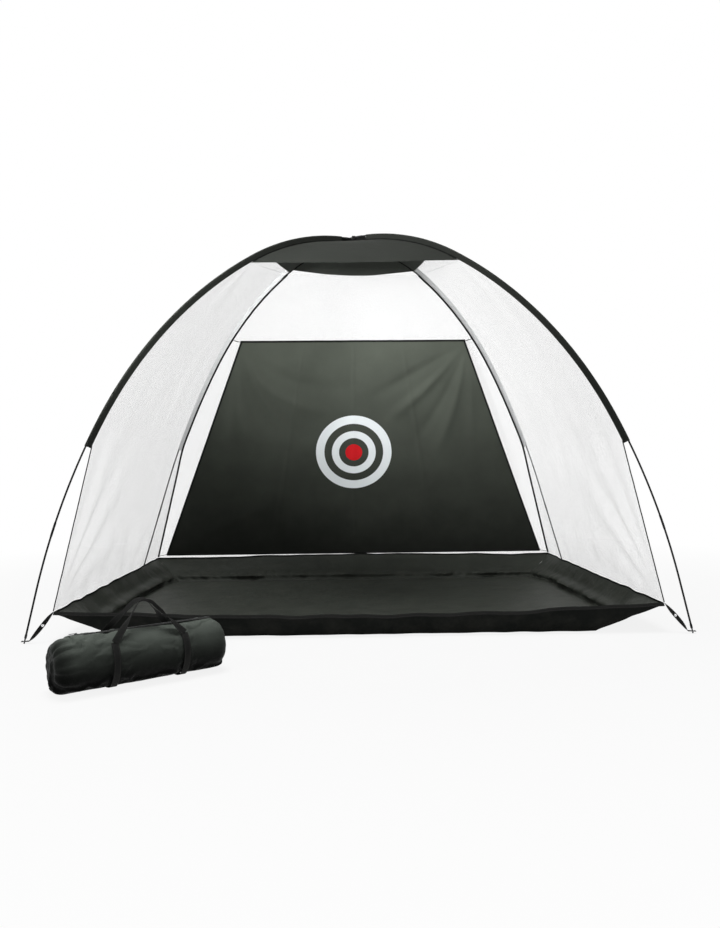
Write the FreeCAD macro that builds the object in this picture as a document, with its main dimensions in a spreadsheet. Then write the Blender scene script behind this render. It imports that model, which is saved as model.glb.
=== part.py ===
import FreeCAD, Part
import math
import os

# Golf chipping net.
# Two long jointed poles bend over a sewn net cage and cross at its crown.
# The poles run in flat fabric sleeves, a shallow tray closes the bottom, and a target
# cloth leans in front of the rear net. A carry bag lies on the ground beside it.
# Frame: millimetres, +Z up, +X to the right and +Y to the rear as a player sees it.
# The origin is on the ground, plumb under the crossing of the poles.

os.makedirs("parts", exist_ok=True)
doc = FreeCAD.newDocument("golf_chipping_net")
V = FreeCAD.Vector
UP = V(0, 0, 1)


# Driving dimensions
SIZES = [
    ("foot_span", 3000.0, "width between the pole feet"),
    ("foot_depth", 2000.0, "depth between the pole feet"),
    ("crown_height", 2087.0, "height of the crossing of the poles"),
    ("front_crown_turn", 32.0, "degrees that a front half turns at the crown"),
    ("front_flank_turn", 31.0, "degrees that a front half turns on its flank"),
    ("front_leg_turn", 14.0, "degrees that a front half turns on its leg"),
    ("front_flank_radius", 2300.0, "bend of a front half on its flank"),
    ("front_leg_radius", 3350.0, "bend of a front half on its leg"),
    ("rear_crown_turn", 32.0, "degrees that a rear half turns at the crown"),
    ("rear_flank_turn", 23.0, "degrees that a rear half turns on its flank"),
    ("rear_leg_turn", 12.0, "degrees that a rear half turns on its leg"),
    ("rear_flank_radius", 1860.0, "bend of a rear half on its flank"),
    ("rear_leg_radius", 4140.0, "bend of a rear half on its leg"),
    ("pole_diameter", 8.5, "glass fibre tube"),
    ("pole_wall", 2.0, "wall of the glass fibre tube"),
    ("ferrule_wall", 0.7, "wall of a metal ferrule"),
    ("ferrule_length", 65.0, "length of a metal ferrule"),
    ("ferrule_clearance", 0.2, "gap between ferrule and tube"),
    ("shock_cord_diameter", 2.5, "elastic cord inside a pole"),
    ("tip_cap_diameter", 10.5, "metal cap on the end of a pole"),
    ("tip_cap_length", 18.0, "length of that cap"),
    ("tip_cap_floor", 6.0, "solid end of that cap, below the tube"),
    ("tip_pin_diameter", 6.0, "pin that stands in the eyelet"),
    ("tip_pin_length", 24.0, "length of that pin"),
    ("sleeve_width", 32.0, "flat width of a pole sleeve"),
    ("sleeve_cloth", 1.0, "cloth of a pole sleeve"),
    ("sleeve_tail_thickness", 1.6, "two layers of cloth where a sleeve meets its seam"),
    ("sleeve_clearance", 0.5, "gap between a ferrule and its sleeve"),
    ("sleeve_crown_gap", 90.0, "bare pole between the crossing and a sleeve"),
    ("front_sleeve_end", 880.0, "height at which a front sleeve ends"),
    ("rear_sleeve_end", 900.0, "height at which a rear sleeve ends"),
    ("front_crown_corner", 661.0, "reach of a front corner of the crown"),
    ("rear_crown_corner", 481.0, "reach of a rear corner of the crown"),
    ("cloth", 1.2, "thickness of the net and crown cloth"),
    ("seam_clearance", 0.3, "gap between pieces that are sewn together"),
    ("binding_width", 8.0, "width of the seam bindings"),
    ("binding_thickness", 3.0, "thickness of the seam bindings"),
    ("rim_height", 10.0, "height of the binding on the tray rim"),
    ("rim_thickness", 4.0, "thickness of the binding on the tray rim"),
    ("tray_cloth", 2.0, "coated cloth of the tray"),
    ("rim_front_half_width", 1376.0, "half width of the rim at its front corners"),
    ("rim_rear_half_width", 1362.0, "half width of the rim at its rear corners"),
    ("rim_front_y", 980.0, "distance of the front rim in front of the crossing"),
    ("rim_rear_y", 950.0, "distance of the rear rim behind the crossing"),
    ("rim_front_corner_height", 130.0, "height of the front corners of the rim"),
    ("rim_rear_corner_height", 145.0, "height of the rear corners of the rim"),
    ("front_lip_sag", 35.0, "how far the front lip hangs below its corners"),
    ("rear_lip_rise", 20.0, "how far the rear rim is drawn up by the net"),
    ("floor_front_half_width", 1080.0, "half width of the floor at its front fold"),
    ("floor_side_half_width", 1270.0, "half width of the floor between the folds"),
    ("floor_rear_half_width", 1185.0, "half width of the floor at its rear fold"),
    ("floor_front_y", 933.0, "distance of the front fold in front of the crossing"),
    ("floor_rear_y", 800.0, "distance of the rear fold behind the crossing"),
    ("floor_corner_depth", 300.0, "depth of the drawn in corners of the floor"),
    ("target_top_half_width", 709.0, "half width of the target cloth at its top"),
    ("target_bottom_half_width", 1286.0, "half width of the target cloth at its foot"),
    ("target_top_height", 1568.0, "height of the top edge of the target cloth"),
    ("target_bottom_height", 178.0, "height of its bottom edge"),
    ("target_top_gap", 32.0, "gap between its top edge and the rear net"),
    ("target_bottom_gap", 24.0, "gap between its bottom edge and the rear net"),
    ("target_cloth_thickness", 1.4, "thickness of the target cloth"),
    ("target_hem", 12.0, "width of the binding round the target cloth"),
    ("target_hem_thickness", 4.2, "thickness of that binding"),
    ("tie_diameter", 3.0, "cords that hold the target cloth"),
    ("tie_rise", 20.0, "how much higher a tie meets the seam than the cloth"),
    ("tie_corner_rise", 6.0, "height above the rim at which a lower tie meets the corner"),
    ("tie_barrel_length", 12.0, "barrel that tightens a tie"),
    ("strap_width", 20.0, "corner webbing"),
    ("strap_thickness", 2.0, "corner webbing"),
    ("strap_ear_height", 11.0, "height of the ear of a corner strap at the pole tip"),
    ("strap_ear_length", 34.0, "length of that level ear"),
    ("strap_bend_place", 20.0, "distance of the bend of a corner strap from its tip eyelet"),
    ("peg_eyelet_place", 72.0, "distance of the peg eyelet from the tray corner"),
    ("peg_eyelet_radius", 6.0, "bore of a peg eyelet"),
    ("tip_eyelet_radius", 4.6, "bore of the eyelet round a pole tip"),
    ("eyelet_wall", 0.9, "barrel wall of an eyelet"),
    ("eyelet_flange", 2.4, "flange of an eyelet past its barrel"),
    ("eyelet_flange_thickness", 0.8, "thickness of that flange"),
    ("eyelet_clearance", 0.1, "gap between an eyelet and its webbing"),
    ("crossing_strap_width", 20.0, "webbing that ties the crossing to the crown"),
    ("crossing_strap_thickness", 1.5, "thickness of that webbing"),
    ("crown_opening", 60.0, "distance from the crossing to the crown triangles"),
    ("crown_patch_length", 130.0, "patch that closes the crown under the crossing"),
    ("crown_patch_width", 90.0, "width of that patch"),
    ("bag_length", 640.0, "carry bag"),
    ("bag_radius", 100.0, "carry bag"),
    ("bag_end_round", 45.0, "rounding of the ends of the bag"),
    ("bag_flat", 2.0, "height of the flat underside of the bag"),
    ("bag_press", 4.0, "how far the bag is flattened where it lies"),
    ("bag_centre_x", -815.0, "place of the bag"),
    ("bag_centre_y", -1635.0, "place of the bag"),
    ("bag_turn", 36.3, "degrees that the bag is turned from the width of the net"),
    ("webbing_width", 25.0, "webbing of the carry handles"),
    ("webbing_thickness", 1.3, "webbing of the carry handles"),
    ("webbing_spacing", 260.0, "distance between the two webbing bands"),
    ("handle_departure", 45.0, "degrees from the top at which a handle leaves the bag"),
    ("handle_height", 138.0, "height of a handle above its hinge line"),
    ("handle_lean", 24.5, "degrees that a handle leans over the bag"),
    ("handle_top_radius", 58.0, "bend at the top of a handle"),
    ("handle_lap", 1.5, "how far a handle laps over the end of its band"),
    ("zip_length", 530.0, "zip along the top of the bag"),
    ("zip_tape_width", 28.0, "both tapes of the zip together"),
    ("zip_tape_thickness", 1.0, "tape of the zip"),
    ("zip_teeth_width", 5.0, "closed teeth of the zip"),
    ("zip_teeth_height", 1.4, "closed teeth of the zip"),
    ("slider_length", 14.0, "zip slider"),
    ("slider_width", 9.0, "zip slider"),
    ("slider_height", 3.2, "zip slider"),
    ("slider_place", 20.0, "distance of the slider from the end of the zip"),
    ("bridge_place", 5.6, "distance of the bridge of the slider from its end"),
    ("bridge_width", 2.4, "bridge of the slider"),
    ("bridge_length", 4.4, "bridge of the slider"),
    ("axle_height", 1.8, "height of the axle of the pull above the slider"),
    ("pull_heel", 1.4, "reach of the pull past its axle"),
    ("pull_length", 26.0, "pull tab of the zip"),
    ("pull_width", 7.0, "pull tab of the zip"),
    ("pull_thickness", 1.6, "pull tab of the zip"),
    ("running_clearance", 0.3, "gap between pieces that move on each other"),
]

sheet = doc.addObject("Spreadsheet::Sheet", "Sizes")
for row, (alias, value, meaning) in enumerate(SIZES, start=1):
    sheet.set("A%d" % row, meaning)
    sheet.set("B%d" % row, str(value))
    sheet.setAlias("B%d" % row, alias)
doc.recompute()


def size(alias):
    """Value of one cell of the sheet."""
    return float(sheet.get(alias))


# Counts that are not lengths
POLE_SECTIONS = 12
NET_ROWS = 12
CROWN_ROWS = 5
# Places of the points across a wide sheet
SHARES = (0, 0.25, 0.5, 0.75, 1)
# Rows of the rear net that rise with the rim
RISING_ROWS = 2
# Four points this close to one plane make one flat face
FLAT = 1e-7
# Shortest run of a pole, and closest offset of a seated piece, that are worth making
NEAR = 0.01

subparts = []


def add_shape(label, shape, placement=None):
    """Sub-part whose shape is built in code."""
    feature = doc.addObject("Part::Feature", label)
    feature.Label = label
    feature.Shape = shape
    if placement is not None:
        feature.Placement = placement
    subparts.append(feature)
    return feature


def add_group(label, shapes):
    """Sub-part of several like solids that share one node."""
    return add_shape(label, Part.makeCompound(shapes))


# Bent poles
class Span:
    """One arc or straight run of a pole, from front foot to rear foot."""

    def __init__(self, start, along, up, heading, length, radius):
        self.start = start
        self.along = along
        self.up = up
        self.heading = heading
        self.length = length
        self.radius = radius

    def at(self, distance):
        """Point and heading at a distance from the start of this span."""
        if self.radius is None:
            along = self.along + distance * math.cos(self.heading)
            up = self.up + distance * math.sin(self.heading)
            return along, up, self.heading
        heading = self.heading - distance / self.radius
        along = self.along + self.radius * (math.sin(self.heading) - math.sin(heading))
        up = self.up + self.radius * (math.cos(heading) - math.cos(self.heading))
        return along, up, heading


def half_bends(side, reach, height):
    """Radius and turn of each bend of a half pole from the crown, then its straight leg.

    The crown's radius and the leg's length follow from the reach and the height.
    """
    turns = [math.radians(size(side + name)) for name in ("_crown_turn", "_flank_turn", "_leg_turn")]
    flank, leg = size(side + "_flank_radius"), size(side + "_leg_radius")
    first = turns[0]
    second = first + turns[1]
    third = second + turns[2]
    rest_along = reach - flank * (math.sin(second) - math.sin(first))
    rest_along -= leg * (math.sin(third) - math.sin(second))
    rest_up = height - flank * (math.cos(first) - math.cos(second))
    rest_up -= leg * (math.cos(second) - math.cos(third))
    crown_along, crown_up = math.sin(first), 1 - math.cos(first)
    scale = crown_along * math.sin(third) - crown_up * math.cos(third)
    crown = (rest_along * math.sin(third) - rest_up * math.cos(third)) / scale
    straight = (crown_along * rest_up - crown_up * rest_along) / scale
    return [(crown, turns[0]), (flank, turns[1]), (leg, turns[2]), (None, straight)]


class Pole:
    """Centre line of one bent pole in its own upright plane, crown at zero."""

    def __init__(self, height):
        self.reach = math.hypot(size("foot_span") / 2, size("foot_depth") / 2)
        front = half_bends("front", self.reach, height)
        rear = half_bends("rear", self.reach, height)
        lengths = [turn if radius is None else radius * turn for radius, turn in front]
        self.start = -sum(lengths)
        position, along, up = self.start, -self.reach, 0.0
        heading = sum(turn for radius, turn in front if radius is not None)
        self.spans = []
        for radius, turn in front[::-1] + rear:
            length = turn if radius is None else radius * turn
            span = Span(position, along, up, heading, length, radius)
            self.spans.append(span)
            along, up, heading = span.at(length)
            position += length
        self.end = position

    def at(self, position, inward=0.0):
        """Point in the plane at a position, and its heading; inward is towards the ground."""
        span = self.spans[0]
        for candidate in self.spans:
            if position >= candidate.start:
                span = candidate
        along, up, heading = span.at(position - span.start)
        return along + inward * math.sin(heading), up - inward * math.cos(heading), heading

    def where(self, test, low, high):
        """Position between low and high where test changes from true to false."""
        for step in range(60):
            middle = (low + high) / 2
            if test(middle):
                low = middle
            else:
                high = middle
        return low

    def sweep(self, profile, low, high):
        """Solid of a profile face carried from one position to another."""
        pieces = []
        for span in self.spans:
            first = max(low, span.start)
            last = min(high, span.start + span.length)
            if last - first < NEAR:
                continue
            along, up, heading = span.at(first - span.start)
            tangent = V(math.cos(heading), 0, math.sin(heading))
            outward = V(-math.sin(heading), 0, math.cos(heading))
            face = profile.copy()
            turn = FreeCAD.Rotation(outward, V(0, -1, 0), tangent, "ZXY")
            face.Placement = FreeCAD.Placement(V(along, 0, up), turn)
            if span.radius is None:
                pieces.append(face.extrude(tangent * (last - first)))
            else:
                centre = V(along, 0, up) - outward * span.radius
                angle = math.degrees((last - first) / span.radius)
                pieces.append(face.revolve(centre, V(0, 1, 0), angle))
        solid = pieces[0]
        if len(pieces) > 1:
            solid = solid.multiFuse(pieces[1:]).removeSplitter()
        return solid


pole_radius = size("pole_diameter") / 2
ferrule_radius = pole_radius + size("ferrule_clearance") + size("ferrule_wall")
half_pass = ferrule_radius + size("seam_clearance") / 2
poles = {
    "a": Pole(size("crown_height") - half_pass),
    "b": Pole(size("crown_height") + half_pass),
}
plan_angle = math.degrees(math.atan2(size("foot_depth"), size("foot_span")))
pole_turns = {
    "a": FreeCAD.Placement(V(), FreeCAD.Rotation(UP, plan_angle)),
    "b": FreeCAD.Placement(V(), FreeCAD.Rotation(UP, 180 - plan_angle)),
}
# Each leg: its pole, and whether it is the front or the rear half of that pole.
LEGS = {
    "front_left": ("a", -1),
    "rear_right": ("a", 1),
    "front_right": ("b", -1),
    "rear_left": ("b", 1),
}


def leg_point(leg, distance, inward):
    """Point of the cage on the line inward of a leg, at a distance from the crown."""
    name, side = LEGS[leg]
    along, up, heading = poles[name].at(side * distance, inward)
    return pole_turns[name].multVec(V(along, 0, up))


def annulus(outer, inner):
    """Ring shaped face."""
    face = Part.Face(Part.Wire(Part.makeCircle(outer)))
    return face.cut(Part.Face(Part.Wire(Part.makeCircle(inner)))).Faces[0]


def pole_interval(pole):
    """Ends of the tubes of a pole, inside its two metal tips."""
    tip = size("tip_cap_floor") + size("tip_pin_length")
    return pole.start + tip, pole.end - tip


def section_joints(pole):
    """Positions of the ends of the sections of a pole."""
    low, high = pole_interval(pole)
    return [low + (high - low) * number / POLE_SECTIONS for number in range(POLE_SECTIONS + 1)]


def make_poles():
    """Hollow sections, ferrules over their joints and the elastic cord inside them."""
    tube = annulus(pole_radius, pole_radius - size("pole_wall"))
    bore = pole_radius + size("ferrule_clearance")
    ring = annulus(bore + size("ferrule_wall"), bore)
    cord = Part.Face(Part.Wire(Part.makeCircle(size("shock_cord_diameter") / 2)))
    ferrules = []
    cords = []
    for name, pole in poles.items():
        joints = section_joints(pole)
        sections = [pole.sweep(tube, low, high) for low, high in zip(joints, joints[1:])]
        legs = [leg for leg, place in LEGS.items() if place[0] == name]
        for leg in legs:
            ordered = sections if LEGS[leg][1] < 0 else sections[::-1]
            add_shape("pole_%s_foot" % leg, ordered[0], pole_turns[name])
            add_shape("pole_%s_lower" % leg, ordered[1], pole_turns[name])
            sleeved = Part.makeCompound(ordered[2:POLE_SECTIONS // 2])
            add_shape("pole_%s_sleeved" % leg, sleeved, pole_turns[name])
        half = size("ferrule_length") / 2
        for joint in joints[1:-1]:
            ferrule = pole.sweep(ring, joint - half, joint + half)
            ferrule.Placement = pole_turns[name]
            ferrules.append(ferrule)
        elastic = pole.sweep(cord, joints[0], joints[-1])
        elastic.Placement = pole_turns[name]
        cords.append(elastic)
    add_group("pole_ferrules", ferrules)
    add_group("pole_shock_cords", cords)


def sleeve_profile():
    """Flat fabric tunnel: round about the pole, drawn to a thin tail at the seam."""
    bore = ferrule_radius + size("sleeve_clearance")
    outer = bore + size("sleeve_cloth")
    tail = size("sleeve_width") - outer
    half = size("sleeve_tail_thickness") / 2
    reach = math.hypot(tail, half)
    angle = math.pi - math.atan2(half, tail) - math.acos(outer / reach)
    touch = V(outer * math.cos(angle), outer * math.sin(angle), 0)
    mirror = V(touch.x, -touch.y, 0)
    edges = [
        Part.Arc(touch, V(outer, 0, 0), mirror).toShape(),
        Part.makeLine(mirror, V(-tail, -half, 0)),
        Part.makeLine(V(-tail, -half, 0), V(-tail, half, 0)),
        Part.makeLine(V(-tail, half, 0), touch),
    ]
    face = Part.Face(Part.Wire(edges))
    return face.cut(Part.Face(Part.Wire(Part.makeCircle(bore)))).Faces[0], tail


sleeve_face, sleeve_tail = sleeve_profile()
seam_depth = sleeve_tail + size("cloth") + size("seam_clearance")


def height_position(leg, height):
    """Distance from the crown at which a leg's seam line comes down to a height."""
    name, side = LEGS[leg]
    pole = poles[name]
    limit = abs(pole.start if side < 0 else pole.end)
    return pole.where(lambda distance: pole.at(side * distance, seam_depth)[1] > height, 0, limit)


def reach_position(leg, reach):
    """Distance from the crown at which a leg's seam line reaches out to a distance."""
    name, side = LEGS[leg]
    pole = poles[name]
    limit = abs(pole.start if side < 0 else pole.end)
    return pole.where(lambda distance: abs(pole.at(side * distance, seam_depth)[0]) < reach, 0, limit)


def make_sleeves():
    """Four sleeves: black in front, pale at the rear."""
    for leg, (name, side) in LEGS.items():
        end = height_position(leg, size(leg.split("_")[0] + "_sleeve_end"))
        near, far = sorted((side * size("sleeve_crown_gap"), side * end))
        add_shape("sleeve_%s" % leg, poles[name].sweep(sleeve_face, near, far), pole_turns[name])


# Cloth sheets
def grid_normal(rows, row, column):
    """Unit normal of a grid of points at one of them."""
    last_row, last_column = len(rows) - 1, len(rows[0]) - 1
    down = rows[min(row + 1, last_row)][column] - rows[max(row - 1, 0)][column]
    across = rows[row][min(column + 1, last_column)] - rows[row][max(column - 1, 0)]
    return down.cross(across).normalize()


def flat_faces(corners):
    """Four corners as one flat face, or as two triangles where they are not in one plane."""
    first, second, third, fourth = corners
    normal = (second - first).cross(third - first)
    if abs(normal.normalize().dot(fourth - first)) < FLAT:
        loops = [corners]
    else:
        loops = [[first, second, third], [first, third, fourth]]
    return [Part.Face(Part.makePolygon(loop + loop[:1])) for loop in loops]


def skin(rings):
    """Closed solid through rings of points, each ring running out along one side and back.

    The way back starts each cell a corner later, so that both sides fold along the same lines.
    """
    count = len(rings[0])
    faces = []
    for ring, following in zip(rings, rings[1:]):
        for index in range(count):
            other = (index + 1) % count
            corners = [ring[index], ring[other], following[other], following[index]]
            if index >= count // 2:
                corners = corners[1:] + corners[:1]
            faces += flat_faces(corners)
    for ring in (rings[0], rings[-1]):
        for index in range(count // 2 - 1):
            mirror = count - 1 - index
            faces += flat_faces([ring[index], ring[index + 1], ring[mirror - 1], ring[mirror]])
    shell = Part.makeShell(faces)
    shell.sewShape()
    solid = Part.makeSolid(Part.Shell(shell.Faces))
    if solid.Volume < 0:
        solid.reverse()
    return solid


def cloth_solid(rows, thickness, outward):
    """Closed sheet through rows of points, with its thickness on its outward side."""
    rings = []
    for row, points in enumerate(rows):
        outer = []
        for column, point in enumerate(points):
            normal = grid_normal(rows, row, column)
            if normal.dot(outward) < 0:
                normal = normal * -1
            outer.append(point + normal * thickness)
        rings.append(points + outer[::-1])
    return skin(rings)


def seated(make, fixed, furthest):
    """Least offset up to a limit at which a made shape clears a fixed one by the seam clearance."""
    low, high = 0.0, furthest
    while high - low > NEAR:
        middle = (low + high) / 2
        if make(middle).distToShape(fixed)[0] < size("seam_clearance"):
            low = middle
        else:
            high = middle
    return high


def between(first, second, share):
    """Point at a share of the way between two points."""
    return first + (second - first) * share


def bar_solid(centres, widths, depths):
    """Strip of rectangular section through centres, with its half sides given at each."""
    rings = []
    for centre, wide, deep in zip(centres, widths, depths):
        above, below = centre + deep, centre - deep
        rings.append([above + wide, above - wide, below - wide, below + wide])
    return skin(rings)


# Tray
def rim_corner(end, side):
    """Corner of the tray rim."""
    half_width = side * size("rim_%s_half_width" % end)
    depth = -size("rim_front_y") if end == "front" else size("rim_rear_y")
    return V(half_width, depth, size("rim_%s_corner_height" % end))


def floor_outline(side):
    """Points of one side of the floor from its front fold to its rear fold."""
    top = size("tray_cloth")
    depth = size("floor_corner_depth")
    return [
        V(side * size("floor_front_half_width"), -size("floor_front_y"), top),
        V(side * size("floor_side_half_width"), -size("floor_front_y") + depth, top),
        V(side * size("floor_side_half_width"), size("floor_rear_y") - depth, top),
        V(side * size("floor_rear_half_width"), size("floor_rear_y"), top),
    ]


def lip_points(end):
    """Rim from left to right with its sag or rise."""
    left, right = rim_corner(end, -1), rim_corner(end, 1)
    change = -size("front_lip_sag") if end == "front" else size("rear_lip_rise")
    points = []
    for share in SHARES:
        point = between(left, right, share)
        point.z += change * (1 - (2 * share - 1) ** 2)
        points.append(point)
    return points


def make_tray():
    """Floor, four sloping walls and the binding on their rim."""
    body = doc.addObject("PartDesign::Body", "tray_floor")
    body.Label = "tray_floor"
    sketch = body.newObject("Sketcher::SketchObject", "floor_outline")
    ground = [plane for plane in body.Origin.OriginFeatures if plane.Role == "XY_Plane"][0]
    sketch.AttachmentSupport = [(ground, "")]
    sketch.MapMode = "FlatFace"
    left, right = floor_outline(-1), floor_outline(1)
    loop = right + left[::-1]
    for start, end in zip(loop, loop[1:] + loop[:1]):
        sketch.addGeometry(Part.LineSegment(V(start.x, start.y, 0), V(end.x, end.y, 0)), False)
    pad = body.newObject("PartDesign::Pad", "floor_cloth")
    pad.Profile = sketch
    pad.setExpression("Length", "Sizes.tray_cloth")
    subparts.append(body)

    thickness = size("tray_cloth")
    for end in ("front", "rear"):
        index = 0 if end == "front" else -1
        low_left, low_right = floor_outline(-1)[index], floor_outline(1)[index]
        rows = []
        for share, top in zip(SHARES, lip_points(end)):
            rows.append([between(low_left, low_right, share), top])
        outward = V(0, -1 if end == "front" else 1, -0.5)
        add_shape("tray_wall_%s" % end, cloth_solid(rows, thickness, outward))
    for name, side in (("left", -1), ("right", 1)):
        low = floor_outline(side)
        front, rear = rim_corner("front", side), rim_corner("rear", side)
        length = rear.y - front.y
        rows = [[low[0], front]]
        for point in low[1:3]:
            rows.append([point, between(front, rear, (point.y - front.y) / length)])
        rows.append([low[3], rear])
        add_shape("tray_wall_%s" % name, cloth_solid(rows, thickness, V(side, 0, -0.5)))

    tall = UP * (size("rim_height") / 2)
    lift = UP * (size("rim_height") / 2 + size("seam_clearance"))
    half = size("rim_thickness") / 2
    strips = []
    for end in ("front", "rear"):
        points = [point + lift for point in lip_points(end)]
        points[0] += V(half + size("seam_clearance"), 0, 0)
        points[-1] -= V(half + size("seam_clearance"), 0, 0)
        strips.append(bar_solid(points, [V(0, half, 0)] * len(points), [tall] * len(points)))
    for side in (-1, 1):
        points = [rim_corner("front", side) + lift, rim_corner("rear", side) + lift]
        points[0] -= V(0, half, 0)
        points[1] += V(0, half, 0)
        strips.append(bar_solid(points, [V(half, 0, 0)] * 2, [tall] * 2))
    return add_group("tray_rim_binding", strips).Shape


# Net cage
net_foot = size("rim_height") + 2 * size("seam_clearance")


def seam_path(leg, start, rows):
    """Points down the seam of a leg, along its sleeve and then straight to the tray corner."""
    end, side_name = leg.split("_")
    side = -1 if side_name == "left" else 1
    last = height_position(leg, size(end + "_sleeve_end"))
    corner = rim_corner(end, side) + UP * net_foot
    tail = leg_point(leg, last, seam_depth)
    straight = (corner - tail).Length
    total = last - start + straight
    on_sleeve = max(2, round(rows * (last - start) / total))
    pitch = (last - start) / on_sleeve
    points = [leg_point(leg, start + pitch * step, seam_depth) for step in range(on_sleeve + 1)]
    below = rows - on_sleeve
    points += [between(tail, corner, (step + 1) / below) for step in range(below)]
    return points


def crown_corner(leg):
    """Distance along a leg of the crown's corner."""
    return reach_position(leg, size(leg.split("_")[0] + "_crown_corner"))


def make_nets():
    """Side nets between the front and rear seams, and the rear net between the rear seams."""
    gap = size("seam_clearance")
    for side_name, side in (("left", -1), ("right", 1)):
        front = seam_path("front_" + side_name, crown_corner("front_" + side_name) + gap, NET_ROWS)
        rear = seam_path("rear_" + side_name, crown_corner("rear_" + side_name) + gap, NET_ROWS)
        rows = [[first, second] for first, second in zip(front, rear)]
        add_shape("net_" + side_name, cloth_solid(rows, size("cloth"), V(side, 0, 0.2)))
    left = seam_path("rear_left", crown_corner("rear_left") + gap, NET_ROWS)
    right = seam_path("rear_right", crown_corner("rear_right") + gap, NET_ROWS)
    rows = []
    for number, (first, second) in enumerate(zip(left, right)):
        rise = size("rear_lip_rise") * max(0.0, 1 - (NET_ROWS - number) / RISING_ROWS)
        row = []
        for share in SHARES:
            point = between(first, second, share)
            point.z += rise * (1 - (2 * share - 1) ** 2)
            row.append(point)
        rows.append(row)
    add_shape("net_rear", cloth_solid(rows, size("cloth"), V(0, 1, 0.2)))


def make_crown():
    """Four cloth triangles under the crossing: visor in front, left, right and back."""
    start = size("crown_opening")
    panels = {
        "crown_visor": ("front_left", "front_right"),
        "crown_left": ("front_left", "rear_left"),
        "crown_right": ("front_right", "rear_right"),
        "crown_back": ("rear_left", "rear_right"),
    }
    for label, (first, second) in panels.items():
        rows = []
        for number in range(CROWN_ROWS + 1):
            share = number / CROWN_ROWS
            row = []
            for leg in (first, second):
                distance = start + (crown_corner(leg) - start) * share
                row.append(leg_point(leg, distance, seam_depth))
            rows.append(row)
        add_shape(label, cloth_solid(rows, size("cloth"), UP))


def make_bindings():
    """Black tape inside the rear seams and down the free front edges of the side nets."""
    wide = size("binding_width") / 2
    thick = size("binding_thickness") / 2
    rear = []
    front = []
    for side_name, side in (("left", -1), ("right", 1)):
        leg, ahead_leg = "rear_" + side_name, "front_" + side_name
        points = seam_path(leg, crown_corner(leg) + size("binding_width"), NET_ROWS)
        other = seam_path(ahead_leg, crown_corner(ahead_leg) + size("binding_width"), NET_ROWS)
        centres, widths, depths = [], [], []
        for point, ahead in zip(points, other):
            forward = (ahead - point).normalize()
            inside = (forward + V(-side, 0, 0)).normalize()
            across = (forward - V(-side, 0, 0)).normalize()
            centres.append(point + inside * (wide + thick + size("seam_clearance")))
            widths.append(across * wide)
            depths.append(inside * thick)
        centres[-1] += UP * size("seam_clearance")
        rear.append(bar_solid(centres, widths, depths))

        last = height_position(ahead_leg, size("front_sleeve_end"))
        top = leg_point(ahead_leg, last + size("seam_clearance") * 4, seam_depth)
        corner = rim_corner("front", side) + UP * net_foot
        backward = V(0, 1, 0)
        step = backward * -(wide + 2 * size("seam_clearance"))
        points = [top + step, corner + step]
        front.append(bar_solid(points, [backward * wide] * 2, [V(thick, 0, 0)] * 2))
    add_group("front_edge_bindings", front)
    return add_group("rear_seam_bindings", rear).Shape


def make_crossing_strap():
    """Webbing loop round both poles at their crossing, its stem and the patch under it."""
    wide = size("crossing_strap_width")
    thick = size("crossing_strap_thickness")
    gap = size("running_clearance")
    slope = math.radians(plan_angle)
    half = wide / 2 * math.tan(slope) + ferrule_radius / math.cos(slope) + gap
    low = size("crown_height") - half_pass - ferrule_radius - gap
    high = size("crown_height") + half_pass + ferrule_radius + gap
    tall = high - low
    outer_start = V(-wide / 2, -half - thick, low - thick)
    outer = Part.makeBox(wide, 2 * (half + thick), tall + 2 * thick, outer_start)
    inner = Part.makeBox(wide, 2 * half, tall, V(-wide / 2, -half, low))
    long_side, short_side = size("crown_patch_length"), size("crown_patch_width")
    cloth = size("cloth")
    corners = [leg_point(leg, math.hypot(long_side, short_side) / 2, seam_depth) for leg in LEGS]
    under = min(corner.z for corner in corners) - size("seam_clearance") - cloth
    patch_start = V(-long_side / 2, -short_side / 2, under - cloth)
    add_shape("crown_patch", Part.makeBox(long_side, short_side, cloth, patch_start))
    foot = under + size("seam_clearance")
    stem = Part.makeBox(wide, thick, low - thick - foot, V(-wide / 2, -thick / 2, foot))
    add_shape("crossing_strap", outer.cut(inner).fuse(stem).removeSplitter())


# Target cloth
def target_frame():
    """Corners of the target cloth: top left, top right, bottom left, bottom right."""
    high, low = size("target_top_height"), size("target_bottom_height")
    top_seam = leg_point("rear_left", height_position("rear_left", high), seam_depth)
    top_y = top_seam.y - size("target_top_gap")
    bottom_y = size("rim_rear_y") - size("target_bottom_gap")
    wide, broad = size("target_top_half_width"), size("target_bottom_half_width")
    return V(-wide, top_y, high), V(wide, top_y, high), V(-broad, bottom_y, low), V(broad, bottom_y, low)


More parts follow.
